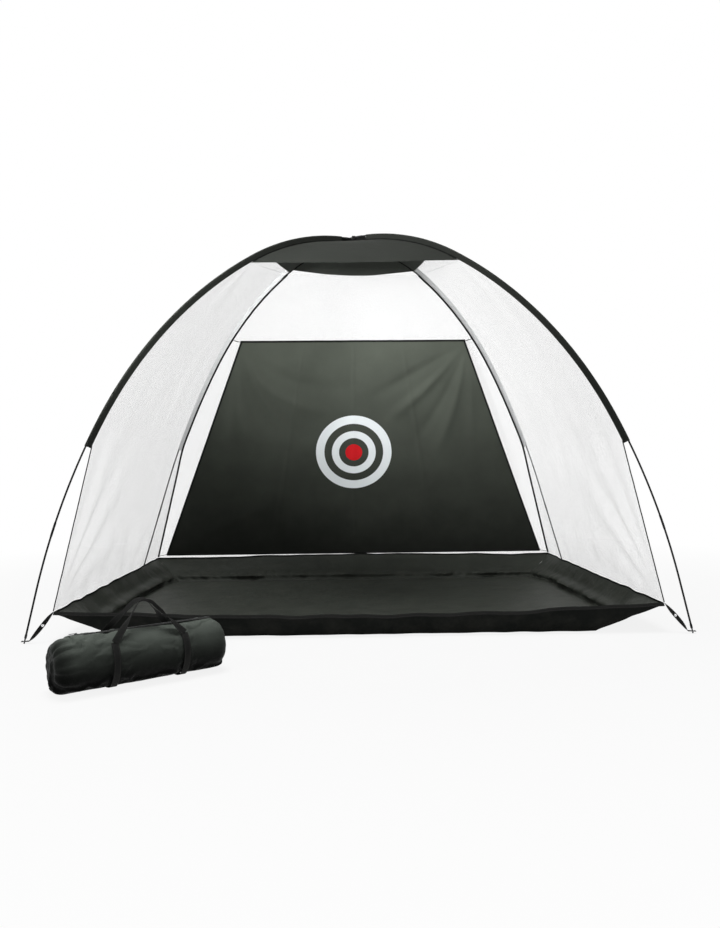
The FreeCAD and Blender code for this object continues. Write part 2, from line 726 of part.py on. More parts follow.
def make_target():
    """Leaning target cloth, the binding round it and the cords that hold its corners."""
    top_left, top_right, bottom_left, bottom_right = target_frame()
    down = (bottom_left + bottom_right - top_left - top_right).normalize()
    back = down.cross(V(-1, 0, 0)).normalize()
    if back.y < 0:
        back = back * -1
    thickness = size("target_cloth_thickness")
    rows = []
    for share in SHARES:
        rows.append([between(top_left, bottom_left, share), between(top_right, bottom_right, share)])
    add_shape("target_cloth", cloth_solid(rows, thickness, back))

    hem = size("target_hem")
    gap = size("seam_clearance")
    half = back * (size("target_hem_thickness") / 2)
    middle = back * (thickness / 2)
    left_edge = (bottom_left - top_left).normalize()
    left_out = back.cross(left_edge).normalize()
    if left_out.x > 0:
        left_out = left_out * -1
    right_out = V(-left_out.x, left_out.y, left_out.z)
    strips = []
    for first, second, out in (
        (top_left, top_right, down * -1),
        (bottom_left, bottom_right, down),
        (top_left, bottom_left, left_out),
        (top_right, bottom_right, right_out),
    ):
        shift = out * (hem / 2 + gap) + middle
        strips.append(bar_solid([first + shift, second + shift], [out * (hem / 2)] * 2, [half] * 2))
    hem_shape = add_group("target_binding", strips).Shape
    return (top_left, top_right, bottom_left, bottom_right, middle), hem_shape


def straight_cord(first, second, radius):
    """Short straight cord between two points."""
    way = second - first
    return Part.makeCylinder(radius, way.Length, first, way)


def make_ties(corners, hem, seams):
    """Cords from the corners of the target cloth to the rear seams, with barrels on the upper two."""
    top_left, top_right, bottom_left, bottom_right, middle = corners
    radius = size("tie_diameter") / 2
    clear = size("running_clearance")
    length = size("tie_barrel_length")
    furthest = size("target_hem") * 3
    groups = {"upper": [], "lower": []}
    sides = (("left", -1, top_left, bottom_left), ("right", 1, top_right, bottom_right))
    for side_name, side, top, bottom in sides:
        leg = "rear_" + side_name
        anchor = leg_point(leg, height_position(leg, top.z + size("tie_rise")), seam_depth)
        corner = rim_corner("rear", side) + UP * (net_foot + size("tie_corner_rise"))
        for place, cloth_corner, hold in (("upper", top, anchor), ("lower", bottom, corner)):
            origin = cloth_corner + middle
            way = (hold - origin).normalize()
            half = between(origin, hold, 0.5)

            def inner_half(offset):
                return straight_cord(origin + way * offset, half, radius)

            def outer_half(offset):
                return straight_cord(half, hold - way * offset, radius)

            near = seated(inner_half, hem, furthest)
            far = seated(outer_half, seams, furthest)
            start, end = origin + way * near, hold - way * far
            groups[place].append(straight_cord(start, end, radius))
            if place == "upper":
                ring = annulus(radius * 2, radius + clear)
                low_end = between(start, end, 0.5) - way * (length / 2)
                ring.Placement = FreeCAD.Placement(low_end, FreeCAD.Rotation(UP, way))
                add_shape("tie_barrel_" + side_name, ring.extrude(way * length))
    add_group("target_upper_ties", groups["upper"])
    add_group("target_lower_ties", groups["lower"])


# Pole tips and the webbing straps that hold them
def foot_frame(leg):
    """Foot point of a leg, its unit direction up the pole and its slope."""
    name, side = LEGS[leg]
    pole = poles[name]
    end = pole.start if side < 0 else pole.end
    near = pole.at(end)
    further = pole.at(end - side * 10)
    turn = pole_turns[name]
    foot = turn.multVec(V(near[0], 0, near[1]))
    way = (turn.multVec(V(further[0], 0, further[1])) - foot).normalize()
    return foot, way, math.asin(way.z)


def make_tips():
    """Metal tips: a cup over the end of the tube and a round ended pin."""
    tips = []
    pin, cap = size("tip_pin_diameter") / 2, size("tip_cap_diameter") / 2
    bore = pole_radius + size("ferrule_clearance")
    for leg in LEGS:
        foot, way, slope = foot_frame(leg)
        rise = pin / math.sin(slope)
        shoulder = size("tip_pin_length") - rise
        floor = shoulder + size("tip_cap_floor")
        top = shoulder + size("tip_cap_length")
        outline = [V(pin, 0, 0), V(pin, 0, shoulder), V(cap, 0, shoulder), V(cap, 0, top)]
        outline += [V(bore, 0, top), V(bore, 0, floor), V(0, 0, floor), V(0, 0, -pin)]
        edges = [Part.makeLine(first, second) for first, second in zip(outline, outline[1:])]
        bulge = V(pin * math.sin(math.pi / 4), 0, -pin * math.cos(math.pi / 4))
        edges.append(Part.Arc(outline[-1], bulge, outline[0]).toShape())
        tip = Part.Face(Part.Wire(edges)).revolve(V(), UP, 360)
        tip.Placement = FreeCAD.Placement(foot + way * rise, FreeCAD.Rotation(UP, way))
        tips.append(tip)
    add_group("pole_tips", tips)


def eyelet_solid(bore, webbing):
    """Metal eyelet on the origin with its axis up: barrel and a flange on each face."""
    wall = bore + size("eyelet_wall")
    edge = wall + size("eyelet_flange")
    half = webbing / 2 + size("eyelet_clearance")
    full = half + size("eyelet_flange_thickness")
    points = [(bore, -full), (edge, -full), (edge, -half), (wall, -half)]
    points += [(wall, half), (edge, half), (edge, full), (bore, full)]
    loop = [V(across, 0, up) for across, up in points]
    return Part.Face(Part.makePolygon(loop + loop[:1])).revolve(V(), UP, 360)


def strap_run(length, rise):
    """Side view of a corner strap from its ear up to the tray corner, as a closed face."""
    half = size("strap_thickness") / 2
    bend = size("strap_bend_place")
    back = bend - size("strap_ear_length")
    slope = math.atan2(rise, length - bend)
    knee = half * math.tan(slope / 2)
    upper = [V(back, 0, half), V(bend - knee, 0, half)]
    across = V(half * math.sin(slope), 0, -half * math.cos(slope))
    upper.append(V(length, 0, rise) - across)
    lower = [V(length, 0, rise) + across, V(bend + knee, 0, -half), V(back, 0, -half)]
    loop = upper + lower
    return Part.Face(Part.makePolygon(loop + loop[:1])), slope, bend


def make_straps(binding):
    """Four corner straps, each with a peg eyelet and an eyelet round a pole tip."""
    eyelets = []
    wide = size("strap_width")
    wall = size("eyelet_wall") + size("eyelet_clearance")
    level = size("strap_ear_height")
    for leg in LEGS:
        end, side_name = leg.split("_")
        corner = rim_corner(end, -1 if side_name == "left" else 1) + UP * (size("rim_height") / 2)
        foot, way, slope = foot_frame(leg)
        ear = foot + way * (level / way.z)
        plan = V(corner.x - ear.x, corner.y - ear.y, 0)
        turn = FreeCAD.Placement(ear, FreeCAD.Rotation(UP, math.degrees(math.atan2(plan.y, plan.x))))

        def webbing(short):
            face, tilt, bend = strap_run(plan.Length - short, corner.z - level)
            solid = face.extrude(V(0, wide, 0))
            solid.translate(V(0, -wide / 2, 0))
            solid.Placement = turn.multiply(solid.Placement)
            return solid, tilt, bend

        high = seated(lambda short: webbing(short)[0], binding, size("rim_thickness") * 4)
        solid, tilt, bend = webbing(high)
        hole = Part.makeCylinder(size("tip_eyelet_radius") + wall, wide, V(0, 0, -wide / 2))
        hole.Placement = turn.multiply(hole.Placement)
        tip_eyelet = eyelet_solid(size("tip_eyelet_radius"), size("strap_thickness"))
        tip_eyelet.Placement = turn
        run = plan.Length - high - bend
        along = bend + run - size("peg_eyelet_place") * math.cos(tilt)
        up = (corner.z - level) - size("peg_eyelet_place") * math.sin(tilt)
        lean = FreeCAD.Placement(V(along, 0, up), FreeCAD.Rotation(V(0, 1, 0), -math.degrees(tilt)))
        peg_eyelet = eyelet_solid(size("peg_eyelet_radius"), size("strap_thickness"))
        peg_eyelet.Placement = turn.multiply(lean)
        peg_hole = Part.makeCylinder(size("peg_eyelet_radius") + wall, wide, V(0, 0, -wide / 2))
        peg_hole.Placement = turn.multiply(lean)
        add_shape("corner_strap_" + leg, solid.cut(hole).cut(peg_hole))
        eyelets += [tip_eyelet, peg_eyelet]
    add_group("strap_eyelets", eyelets)


# Carry bag, in its own frame: x along the bag, y to its rear, z up from the ground
bag_place = FreeCAD.Placement(
    V(size("bag_centre_x"), size("bag_centre_y"), 0), FreeCAD.Rotation(UP, size("bag_turn"))
)
bag_axis = size("bag_flat") + size("bag_radius") - size("bag_press")


def plane_of(body, role):
    """Origin plane of a body by its role."""
    return [plane for plane in body.Origin.OriginFeatures if plane.Role == role][0]


def new_sketch(body, name, role):
    """Empty sketch on an origin plane of a body."""
    sketch = body.newObject("Sketcher::SketchObject", name)
    sketch.AttachmentSupport = [(plane_of(body, role), "")]
    sketch.MapMode = "FlatFace"
    return sketch


def draw_loop(sketch, points):
    """Closed outline of straight lines."""
    for start, end in zip(points, points[1:] + points[:1]):
        sketch.addGeometry(Part.LineSegment(start, end), False)


def new_body(label, placement):
    """Part design body that is one sub-part."""
    body = doc.addObject("PartDesign::Body", label)
    body.Label = label
    body.Placement = placement
    subparts.append(body)
    return body


def flatten_bag(body, length):
    """Cut away what would reach below the flat underside."""
    sketch = new_sketch(body, body.Label + "_underside", "XY_Plane")
    sketch.setExpression("AttachmentOffset.Base.z", "Sizes.bag_press - Sizes.bag_radius")
    half = size("bag_radius") * 1.2
    corners = [V(-length, -half, 0), V(length, -half, 0), V(length, half, 0), V(-length, half, 0)]
    draw_loop(sketch, corners)
    before = body.Shape.Volume
    pocket = body.newObject("PartDesign::Pocket", body.Label + "_flat")
    pocket.Profile = sketch
    pocket.Type = "Length"
    pocket.Length = size("bag_radius")
    pocket.Reversed = False
    doc.recompute()
    if before - body.Shape.Volume < 1:
        raise RuntimeError(body.Label + " was not flattened")


def make_bag():
    """Padded cylinder and its two round ends."""
    half = size("bag_length") / 2
    radius, bend = size("bag_radius"), size("bag_end_round")
    gap = size("seam_clearance")
    place = bag_place.multiply(FreeCAD.Placement(V(0, 0, bag_axis), FreeCAD.Rotation()))
    body = new_body("bag_body", place)
    sketch = new_sketch(body, "bag_side", "XZ_Plane")
    straight = half - bend
    crest = V(straight, radius, 0)
    draw_loop(sketch, [V(-straight, 0, 0), V(-straight, radius, 0), crest, V(straight, 0, 0)])
    turned = body.newObject("PartDesign::Revolution", "bag_roll")
    turned.Profile = sketch
    turned.ReferenceAxis = (sketch, ["H_Axis"])
    turned.Angle = 360
    doc.recompute()
    flatten_bag(body, size("bag_length"))
    for name, side in (("left", -1), ("right", 1)):
        body = new_body("bag_end_" + name, place)
        sketch = new_sketch(body, "end_outline_" + name, "XZ_Plane")
        inner, outer = side * (straight + gap), side * half
        crest, shoulder = V(inner, radius, 0), V(outer, radius - bend, 0)
        centre = V(inner, radius - bend, 0)
        bulge = centre + V(side * math.sin(math.pi / 4) * (bend - gap), math.cos(math.pi / 4) * bend, 0)
        sketch.addGeometry(Part.LineSegment(V(inner, 0, 0), crest), False)
        sketch.addGeometry(Part.Arc(crest, bulge, shoulder), False)
        sketch.addGeometry(Part.LineSegment(shoulder, V(outer, 0, 0)), False)
        sketch.addGeometry(Part.LineSegment(V(outer, 0, 0), V(inner, 0, 0)), False)
        turned = body.newObject("PartDesign::Revolution", "end_turn_" + name)
        turned.Profile = sketch
        turned.ReferenceAxis = (sketch, ["H_Axis"])
        turned.Angle = 360
        doc.recompute()
        flatten_bag(body, size("bag_length"))


def flat_disc(radius, low):
    """Upright disc about the axis of the bag, cut level at a height."""
    disc = Part.Face(Part.Wire(Part.makeCircle(radius, V(0, 0, bag_axis), V(1, 0, 0))))
    box = Part.makeBox(2, 4 * radius, 4 * radius, V(-1, -2 * radius, low))
    return disc.common(box)


def make_bands():
    """Two webbing bands under the bag, open at the top where the handles leave them."""
    inner = size("bag_radius") + size("seam_clearance")
    outer = inner + size("webbing_thickness")
    ring = flat_disc(outer, 0).cut(flat_disc(inner, size("webbing_thickness")))
    angle = math.radians(size("handle_departure"))
    far = 2 * outer
    centre = V(0, 0, bag_axis)
    aside = far * math.tan(angle)
    wedge = [centre, centre + V(0, -aside, far), centre + V(0, aside, far), centre]
    opening = Part.Face(Part.makePolygon(wedge)).extrude(V(1, 0, 0))
    opening.translate(V(-0.5, 0, 0))
    ring = ring.cut(opening)
    bands = []
    for side in (-1, 1):
        middle = side * size("webbing_spacing") / 2
        band = ring.Faces[0].extrude(V(size("webbing_width"), 0, 0))
        band.translate(V(middle - size("webbing_width") / 2, 0, 0))
        band.Placement = bag_place.multiply(band.Placement)
        bands.append(band)
    add_group("bag_bands", bands)


def handle_hinge(side):
    """Placement of a handle: its hinge line over the ends of its bands, leaning over the bag."""
    middle = size("bag_radius") + 2 * size("seam_clearance") + 1.5 * size("webbing_thickness")
    angle = math.radians(size("handle_departure")) + size("handle_lap") / middle
    hinge = V(0, side * middle * math.sin(angle), bag_axis + middle * math.cos(angle))
    lean = FreeCAD.Rotation(V(1, 0, 0), side * size("handle_lean"))
    return bag_place.multiply(FreeCAD.Placement(hinge, lean))


def make_handles():
    """Two webbing handles, each a flat arch between the two bands."""
    half = size("webbing_spacing") / 2
    wide = size("webbing_width") / 2
    radius = size("handle_top_radius")
    centre_up = size("handle_height") - wide - radius
    reach = math.hypot(half, centre_up)
    slope = math.atan2(centre_up, half) + math.asin(radius / reach)
    aside = V(-math.sin(slope), math.cos(slope), 0)
    along = V(math.cos(slope), math.sin(slope), 0)
    for name, side in (("front", -1), ("rear", 1)):
        body = new_body("bag_handle_" + name, handle_hinge(side))
        sketch = new_sketch(body, "handle_outline_" + name, "XZ_Plane")
        outlines = []
        for offset in (wide, -wide):
            touch = V(0, centre_up, 0) + aside * (radius + offset)
            start = touch - along * (touch.y / along.y)
            outlines.append((start, touch, V(0, centre_up + radius + offset, 0)))
        (start, touch, top), (inner_start, inner_touch, inner_top) = outlines
        flip = [V(-point.x, point.y, 0) for point in (start, touch, inner_start, inner_touch)]
        sketch.addGeometry(Part.LineSegment(start, touch), False)
        sketch.addGeometry(Part.Arc(touch, top, flip[1]), False)
        sketch.addGeometry(Part.LineSegment(flip[1], flip[0]), False)
        sketch.addGeometry(Part.LineSegment(flip[0], flip[2]), False)
        sketch.addGeometry(Part.LineSegment(flip[2], flip[3]), False)
        sketch.addGeometry(Part.Arc(flip[3], inner_top, inner_touch), False)
        sketch.addGeometry(Part.LineSegment(inner_touch, inner_start), False)
        sketch.addGeometry(Part.LineSegment(inner_start, start), False)
        pad = body.newObject("PartDesign::Pad", "handle_webbing_" + name)
        pad.Profile = sketch
        pad.SideType = "Symmetric"
        pad.setExpression("Length", "Sizes.webbing_thickness")


def arched_strip(inner, thickness, width, length):
    """Strip along the top of the bag, arched about its axis."""
    half = width / 2 / inner
    outer = inner + thickness
    points = []
    for radius in (inner, outer):
        turns = (-half, 0, half)
        points.append([V(0, radius * math.sin(turn), radius * math.cos(turn)) for turn in turns])
    below, above = points
    edges = [
        Part.Arc(*below).toShape(),
        Part.makeLine(below[2], above[2]),
        Part.Arc(*above[::-1]).toShape(),
        Part.makeLine(above[0], below[0]),
    ]
    strip = Part.Face(Part.Wire(edges)).extrude(V(length, 0, 0))
    strip.translate(V(-length / 2, 0, bag_axis))
    strip.Placement = bag_place.multiply(strip.Placement)
    return strip


def make_zip():
    """Zip tape and closed teeth along the top of the bag, its slider and the pull."""
    gap = size("running_clearance")
    tape = size("bag_radius") + size("seam_clearance")
    teeth = tape + size("zip_tape_thickness") + size("seam_clearance")
    crest = teeth + size("zip_teeth_height")
    run = size("zip_length")
    tape_strip = arched_strip(tape, size("zip_tape_thickness"), size("zip_tape_width"), run)
    add_shape("zip_tape", tape_strip)
    teeth_strip = arched_strip(teeth, size("zip_teeth_height"), size("zip_teeth_width"), run)
    add_shape("zip_teeth", teeth_strip)
    length, wide, tall = size("slider_length"), size("slider_width"), size("slider_height")
    start = size("slider_place") - run / 2
    bottom = bag_axis + tape + size("zip_tape_thickness") + gap
    slot = size("zip_teeth_width") / 2 + gap
    outer = Part.makeBox(length, wide, tall, V(start, -wide / 2, bottom))
    channel = Part.makeBox(length, 2 * slot, bag_axis + crest + gap - bottom, V(start, -slot, bottom))
    pin = size("pull_thickness") / 2
    bore = pin + gap
    half = size("bridge_width") / 2
    middle = start + size("bridge_place")
    top = bottom + tall
    axle = top + size("axle_height")
    long_side = size("bridge_length")
    crown = axle + bore + pin
    bridge = Part.makeBox(long_side, 2 * half, crown - top, V(middle - long_side / 2, -half, top))
    hole = Part.makeCylinder(bore, 4 * half, V(middle, -2 * half, axle), V(0, 1, 0))
    slider = outer.cut(channel).fuse(bridge).cut(hole).removeSplitter()
    slider.Placement = bag_place.multiply(slider.Placement)
    add_shape("zip_slider", slider)
    broad = size("pull_width")
    heel = middle + size("pull_heel")
    tab_end = heel - size("pull_length")
    tab = Part.makeBox(size("pull_length"), broad, 2 * pin, V(tab_end, -broad / 2, axle - pin))
    throat = math.hypot(long_side / 2, crown - axle) + gap
    fork_start = V(middle - throat, -half - gap, axle - pin)
    fork = Part.makeBox(2 * throat, 2 * (half + gap), 2 * pin, fork_start)
    rod = Part.makeCylinder(pin, broad, V(middle, -broad / 2, axle), V(0, 1, 0))
    pull = tab.cut(fork).fuse(rod).removeSplitter()
    pull.Placement = bag_place.multiply(pull.Placement)
    add_shape("zip_pull", pull)


make_poles()
make_tips()
make_sleeves()
make_straps(make_tray())
make_nets()
make_crown()
make_crossing_strap()
seams = make_bindings()
target_corners, target_hem = make_target()
make_ties(target_corners, target_hem, seams)
make_bag()
make_bands()
make_handles()
make_zip()

doc.recompute()


def check_document():
    """Stop on any failed object or empty or invalid shape."""
    for item in doc.Objects:
        if "Invalid" in item.State or "Error" in item.State:
            raise RuntimeError("%s failed: %s" % (item.Label, item.State))
    for item in subparts:
        if item.Shape.isNull() or not item.Shape.isValid():
            raise RuntimeError("%s has no valid shape" % item.Label)
        if not item.Shape.Solids:
            raise RuntimeError("%s has no solid" % item.Label)


check_document()
for item in subparts:
    item.Shape.exportStep(os.path.join("parts", item.Label + ".step"))
print("sub-parts: %d" % len(subparts))
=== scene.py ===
import math

import bpy
from mathutils import Matrix, Vector, noise


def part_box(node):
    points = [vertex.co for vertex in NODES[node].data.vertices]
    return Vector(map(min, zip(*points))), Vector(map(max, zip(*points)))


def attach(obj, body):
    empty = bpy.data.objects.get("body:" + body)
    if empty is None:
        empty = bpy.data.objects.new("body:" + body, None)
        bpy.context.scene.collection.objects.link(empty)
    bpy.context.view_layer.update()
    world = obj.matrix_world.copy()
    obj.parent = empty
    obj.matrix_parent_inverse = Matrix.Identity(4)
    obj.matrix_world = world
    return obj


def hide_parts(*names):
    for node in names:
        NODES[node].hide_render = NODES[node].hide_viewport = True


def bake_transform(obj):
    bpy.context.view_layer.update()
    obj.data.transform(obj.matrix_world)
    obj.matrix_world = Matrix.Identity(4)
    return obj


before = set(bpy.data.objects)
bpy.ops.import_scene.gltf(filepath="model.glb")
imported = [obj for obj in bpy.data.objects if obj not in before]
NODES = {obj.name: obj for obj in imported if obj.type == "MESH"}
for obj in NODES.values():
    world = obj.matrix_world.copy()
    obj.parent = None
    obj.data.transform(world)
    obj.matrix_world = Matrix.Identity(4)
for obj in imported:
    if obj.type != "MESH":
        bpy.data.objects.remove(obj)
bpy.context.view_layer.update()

bl_info = {
    "name": "Golf chipping net",
    "version": (1, 0, 0),
    "blender": (4, 5, 0),
    "location": "3D View > Sidebar > Chipping net",
    "description": "Dresses the pop-up chipping net, its target, tray and carry bag",
    "category": "Object",
}

UP = Vector((0, 0, 1))
SIDES = (("left", -1), ("right", 1))
LEGS = ("front_left", "front_right", "rear_left", "rear_right")


def shade(red, green, blue):
    """Scene colour of a screen colour with parts from 0 to 255."""
    parts = [value / 255 for value in (red, green, blue)]
    return tuple(p / 12.92 if p < 0.04045 else ((p + 0.055) / 1.055) ** 2.4 for p in parts)


# Sizes and colours that a user would change


def length_setting(name, default, description, most=3.0):
    return bpy.props.FloatProperty(
        name=name, description=description, default=default, min=0.0, max=most,
        unit="LENGTH", subtype="DISTANCE", precision=4,
    )


def colour_setting(name, default, description):
    return bpy.props.FloatVectorProperty(
        name=name, description=description, default=default, size=3,
        min=0.0, max=1.0, subtype="COLOR",
    )


def share_setting(name, default, description):
    return bpy.props.FloatProperty(
        name=name, description=description, default=default, min=0.0, max=1.0,
        subtype="FACTOR",
    )


class NetSettings(bpy.types.PropertyGroup):
    """Cage of netting, its sleeves and its crown."""

    net_colour: colour_setting("Net", shade(248, 249, 249), "White polyester netting")
    net_cover: share_setting("Net cover", 0.034, "Share of the netting that is thread")
    net_thickness: length_setting("Net thickness", 0.0006, "Thickness of the netting")
    black_cloth: colour_setting("Black cloth", shade(44, 46, 43), "Front sleeves and crown")
    white_cloth: colour_setting("White cloth", shade(222, 223, 224), "Rear sleeves")
    cloth_thickness: length_setting("Cloth thickness", 0.0008, "Thickness of sleeve cloth")
    sleeve_radius: length_setting("Sleeve radius", 0.0062, "Radius of a sleeve round its pole")
    sleeve_depth: length_setting("Sleeve depth", 0.0254, "Pole centre to the sleeve's seam")
    sleeve_gap: length_setting("Bare pole at the top", 0.085, "Crossing to the sleeve's end")
    front_sleeve_end: length_setting("Front sleeve end", 0.880, "Height of that end")
    rear_sleeve_end: length_setting("Rear sleeve end", 0.900, "Height of that end")
    billow: length_setting("Billow", 0.010, "How far the netting bellies out")
    fold_height: length_setting("Folds", 0.032, "Height of the folds at the front corners")


class TraySettings(bpy.types.PropertyGroup):
    """Ball tray under the net."""

    cloth: colour_setting("Tray cloth", shade(48, 51, 46), "Coated black polyester")
    # Painted shade: a darker tray colour for the front wall's outer side, standing in for the shade
    # on it.
    underside: colour_setting("Front wall shade", shade(26, 28, 26), "Painted shade on the outer side of the front wall")
    thickness: length_setting("Thickness", 0.0012, "Thickness of the tray cloth")
    ripple: length_setting("Ripples", 0.006, "Height of the soft waves in the tray")
    binding_width: length_setting("Rim binding", 0.016, "Width of the binding on the rim")


class TargetSettings(bpy.types.PropertyGroup):
    """Hanging target with its rings."""

    cloth: colour_setting("Target cloth", shade(64, 68, 61), "Black polyester")
    white: colour_setting("White rings", shade(236, 242, 244), "White print")
    red: colour_setting("Red middle", shade(206, 24, 32), "Red print")
    thickness: length_setting("Thickness", 0.0014, "Thickness of the target cloth")
    fold_height: length_setting("Folds", 0.026, "Height of the folds from the top corners")
    binding_width: length_setting("Binding", 0.012, "Width of the binding round it")
    centre_height: length_setting("Ring centre", 0.865, "Height of the middle of the rings")
    ring_outer: length_setting("Outer ring, outside", 0.252, "Radius")
    ring_outer_inside: length_setting("Outer ring, inside", 0.196, "Radius")
    ring_inner: length_setting("Inner ring, outside", 0.1465, "Radius")
    ring_inner_inside: length_setting("Inner ring, inside", 0.0985, "Radius")
    bull: length_setting("Red middle, radius", 0.056, "Radius")
    tie_diameter: length_setting("Lower tie", 0.003, "Diameter of the lower elastic ties")
    upper_tie_diameter: length_setting("Upper tie", 0.004, "Diameter of the upper elastic ties")


class BagSettings(bpy.types.PropertyGroup):
    """Carry bag in front of the net."""

    cloth: colour_setting("Bag cloth", shade(54, 58, 54), "Coated dark grey polyester")
    length: length_setting("Length", 0.640, "Length of the bag")
    radius: length_setting("Radius", 0.0975, "Radius of the filled bag")
    end_round: length_setting("Rounded ends", 0.045, "Radius of the edge of an end")
    pinch: length_setting("Pinch", 0.006, "How far the bands draw the bag in")
    band_place: length_setting("Band place", 0.130, "Bands from the middle of the bag")
    band_width: length_setting("Band width", 0.025, "Width of the webbing")
    zip_length: length_setting("Zip", 0.530, "Length of the zip")


class StageSettings(bpy.types.PropertyGroup):
    """Floor, lamps and camera."""

    floor: colour_setting("Floor", shade(222, 222, 222), "Plain pale floor")
    camera_place: bpy.props.FloatVectorProperty(
        name="Camera", description="Place of the camera", default=(-0.086, -4.5, 0.7735),
        unit="LENGTH", subtype="TRANSLATION",
    )
    camera_turn: bpy.props.FloatProperty(
        name="Turn", description="Turn of the camera to the right",
        default=math.radians(1.39), subtype="ANGLE",
    )
    camera_rise: bpy.props.FloatProperty(
        name="Rise", description="Rise of the camera's line of sight",
        default=math.radians(0.147), subtype="ANGLE",
    )
    camera_roll: bpy.props.FloatProperty(
        name="Roll", description="Roll of the camera",
        default=math.radians(0.6), subtype="ANGLE",
    )
    lens: bpy.props.FloatProperty(
        name="Lens", description="Focal length in millimetres on a 36 mm frame",
        default=30.28, min=10, max=200,
    )


# Lines that the pieces follow


class Line:
    """Line through points, smooth or with corners; a place on it is a share of it."""

    def __init__(self, points, even=False, smooth=True):
        self.points = [Vector(point) for point in points]
        self.smooth = smooth
        self.marks = [0.0]
        for start, end in zip(self.points, self.points[1:]):
            self.marks.append(self.marks[-1] + (1.0 if even else (end - start).length))
        self.length = sum((b - a).length for a, b in zip(self.points, self.points[1:]))

    def slope(self, number):
        low, high = max(number - 1, 0), min(number + 1, len(self.points) - 1)
        return (self.points[high] - self.points[low]) / (self.marks[high] - self.marks[low])

    def at(self, share):
        place = min(max(share, 0.0), 1.0) * self.marks[-1]
        last = len(self.points) - 2
        number = next((n for n in range(last) if place <= self.marks[n + 1]), last)
        start, end = self.points[number], self.points[number + 1]
        step = self.marks[number + 1] - self.marks[number]
        t = (place - self.marks[number]) / step
        if not self.smooth:
            return start.lerp(end, t)
        leave, arrive = self.slope(number) * step, self.slope(number + 1) * step
        return (
            start * (2 * t**3 - 3 * t**2 + 1) + leave * (t**3 - 2 * t**2 + t)
            + end * (3 * t**2 - 2 * t**3) + arrive * (t**3 - t**2)
        )

    def way(self, share):
        """Direction in which the line runs there."""
        low, high = max(share - 0.002, 0.0), min(share + 0.002, 1.0)
        return (self.at(high) - self.at(low)).normalized()

    def share_at_height(self, height):
        """Share of a falling line at which it passes a height."""
        low, high = 0.0, 1.0
        for _ in range(30):
            middle = (low + high) / 2
            low, high = (middle, high) if self.at(middle).z > height else (low, middle)
        return low


def corners(node):
    """Different points of a CAD node."""
    seen = {tuple(round(c, 6) for c in v.co) for v in NODES[node].data.vertices}
    return [Vector(point) for point in sorted(seen)]


def middles(points, order, group=2):
    """Middle of each group of neighbouring points, such as the two sides of a cloth's edge."""
    points = sorted(points, key=order)
    groups = [points[n:n + group] for n in range(0, len(points), group)]
    return [sum(some, Vector()) / len(some) for some in groups]


def edge(node, belongs, order, **how):
    """Line along one edge of a CAD sheet."""
    return Line(middles([p for p in corners(node) if belongs(p)], order), even=True, **how)


def seam(side, front):
    """Seam of a side net, from the rim to the crown."""
    return edge("net_" + side, lambda p: (p.y < 0) == front, lambda p: p.z)


def leg_lines():
    """Centre line of each leg, from the crossing of the poles to its tip."""
    rings = {"a": [], "b": []}
    top = max(v.co.z for v in NODES["pole_shock_cords"].data.vertices) - 0.006
    for point in corners("pole_shock_cords"):
        crossing = abs(point.x) < 0.02
        low = point.z < top if crossing else point.x * point.y > 0
        rings["a" if low else "b"].append(point)
    legs = {}
    for pole, signs in (("a", (("front_left", -1), ("rear_right", 1))),
                        ("b", (("rear_left", -1), ("front_right", 1)))):
        ordered = sorted(rings[pole], key=lambda p: p.x)
        groups = [[ordered[0]]]
        for point in ordered[1:]:
            if point.x - groups[-1][0].x > 0.004:
                groups.append([])
            groups[-1].append(point)
        centres = [sum(group, Vector()) / len(group) for group in groups]
        for leg, sign in signs:
            half = [p for p in centres if p.x * sign > 0.02]
            half.sort(key=lambda p: abs(p.x))
            crossing = half[0] - (half[1] - half[0]).normalized() * half[0].xy.length
            legs[leg] = Line([crossing] + half)
    return legs


def heading(leg):
    """Level direction from the crossing towards the tip of a leg."""
    run = leg.points[-1] - leg.points[0]
    return Vector((run.x, run.y, 0)).normalized()


def inward(way, outwards):
    """Square to a leg that runs one way, turned in from its level heading."""
    return (outwards * way.z - UP * way.dot(outwards)).normalized()


# Folds


def wave(point, size, seed=0.0):
    """Soft unevenness from -1 to 1 with swells of about a size."""
    return noise.noise(Vector(point) / size + Vector((seed, 2.3 * seed, 0.7 * seed)))


def fan(across, up, reach, count, turn=0.0):
    """Folds that fan out from a pulled corner, dying out at a reach."""
    distance = math.hypot(across, up)
    rise = min(distance / (0.12 * reach), 1.0) * math.exp(-((distance / reach) ** 2))
    return rise * math.sin(count * math.atan2(up, across) + turn)


def crease(place, ends, width, sag=0.0):
    """Ridge along a sagging line between two places of a cloth, from 0 to 1."""
    (x0, y0), (x1, y1) = ends
    line = []
    for step in range(9):
        share = step / 8
        drop = sag * math.sin(math.pi * share)
        line.append((x0 + (x1 - x0) * share - drop, y0 + (y1 - y0) * share - drop))
    nearest, where = 9.0, 0.0
    for number, ((ax, ay), (bx, by)) in enumerate(zip(line, line[1:])):
        run = (bx - ax, by - ay)
        share = ((place[0] - ax) * run[0] + (place[1] - ay) * run[1]) / (run[0] ** 2 + run[1] ** 2)
        share = min(max(share, 0.0), 1.0)
        away = math.hypot(place[0] - ax - share * run[0], place[1] - ay - share * run[1])
        if away < nearest:
            nearest, where = away, (number + share) / 8
    grown = width * (0.45 + 0.9 * where)
    return math.exp(-((nearest / grown) ** 2)) * math.sin(math.pi * (0.04 + 0.92 * where)) ** 0.7


# Making pieces


def clear():
    """Nothing is selected after this."""
    bpy.ops.object.select_all(action="DESELECT")


def take(piece):
    """The piece alone is selected and active."""
    clear()
    piece.select_set(True)
    bpy.context.view_layer.objects.active = piece


def finish_modifiers(piece):
    take(piece)
    for name in [modifier.name for modifier in piece.modifiers]:
        bpy.ops.object.modifier_apply(modifier=name)


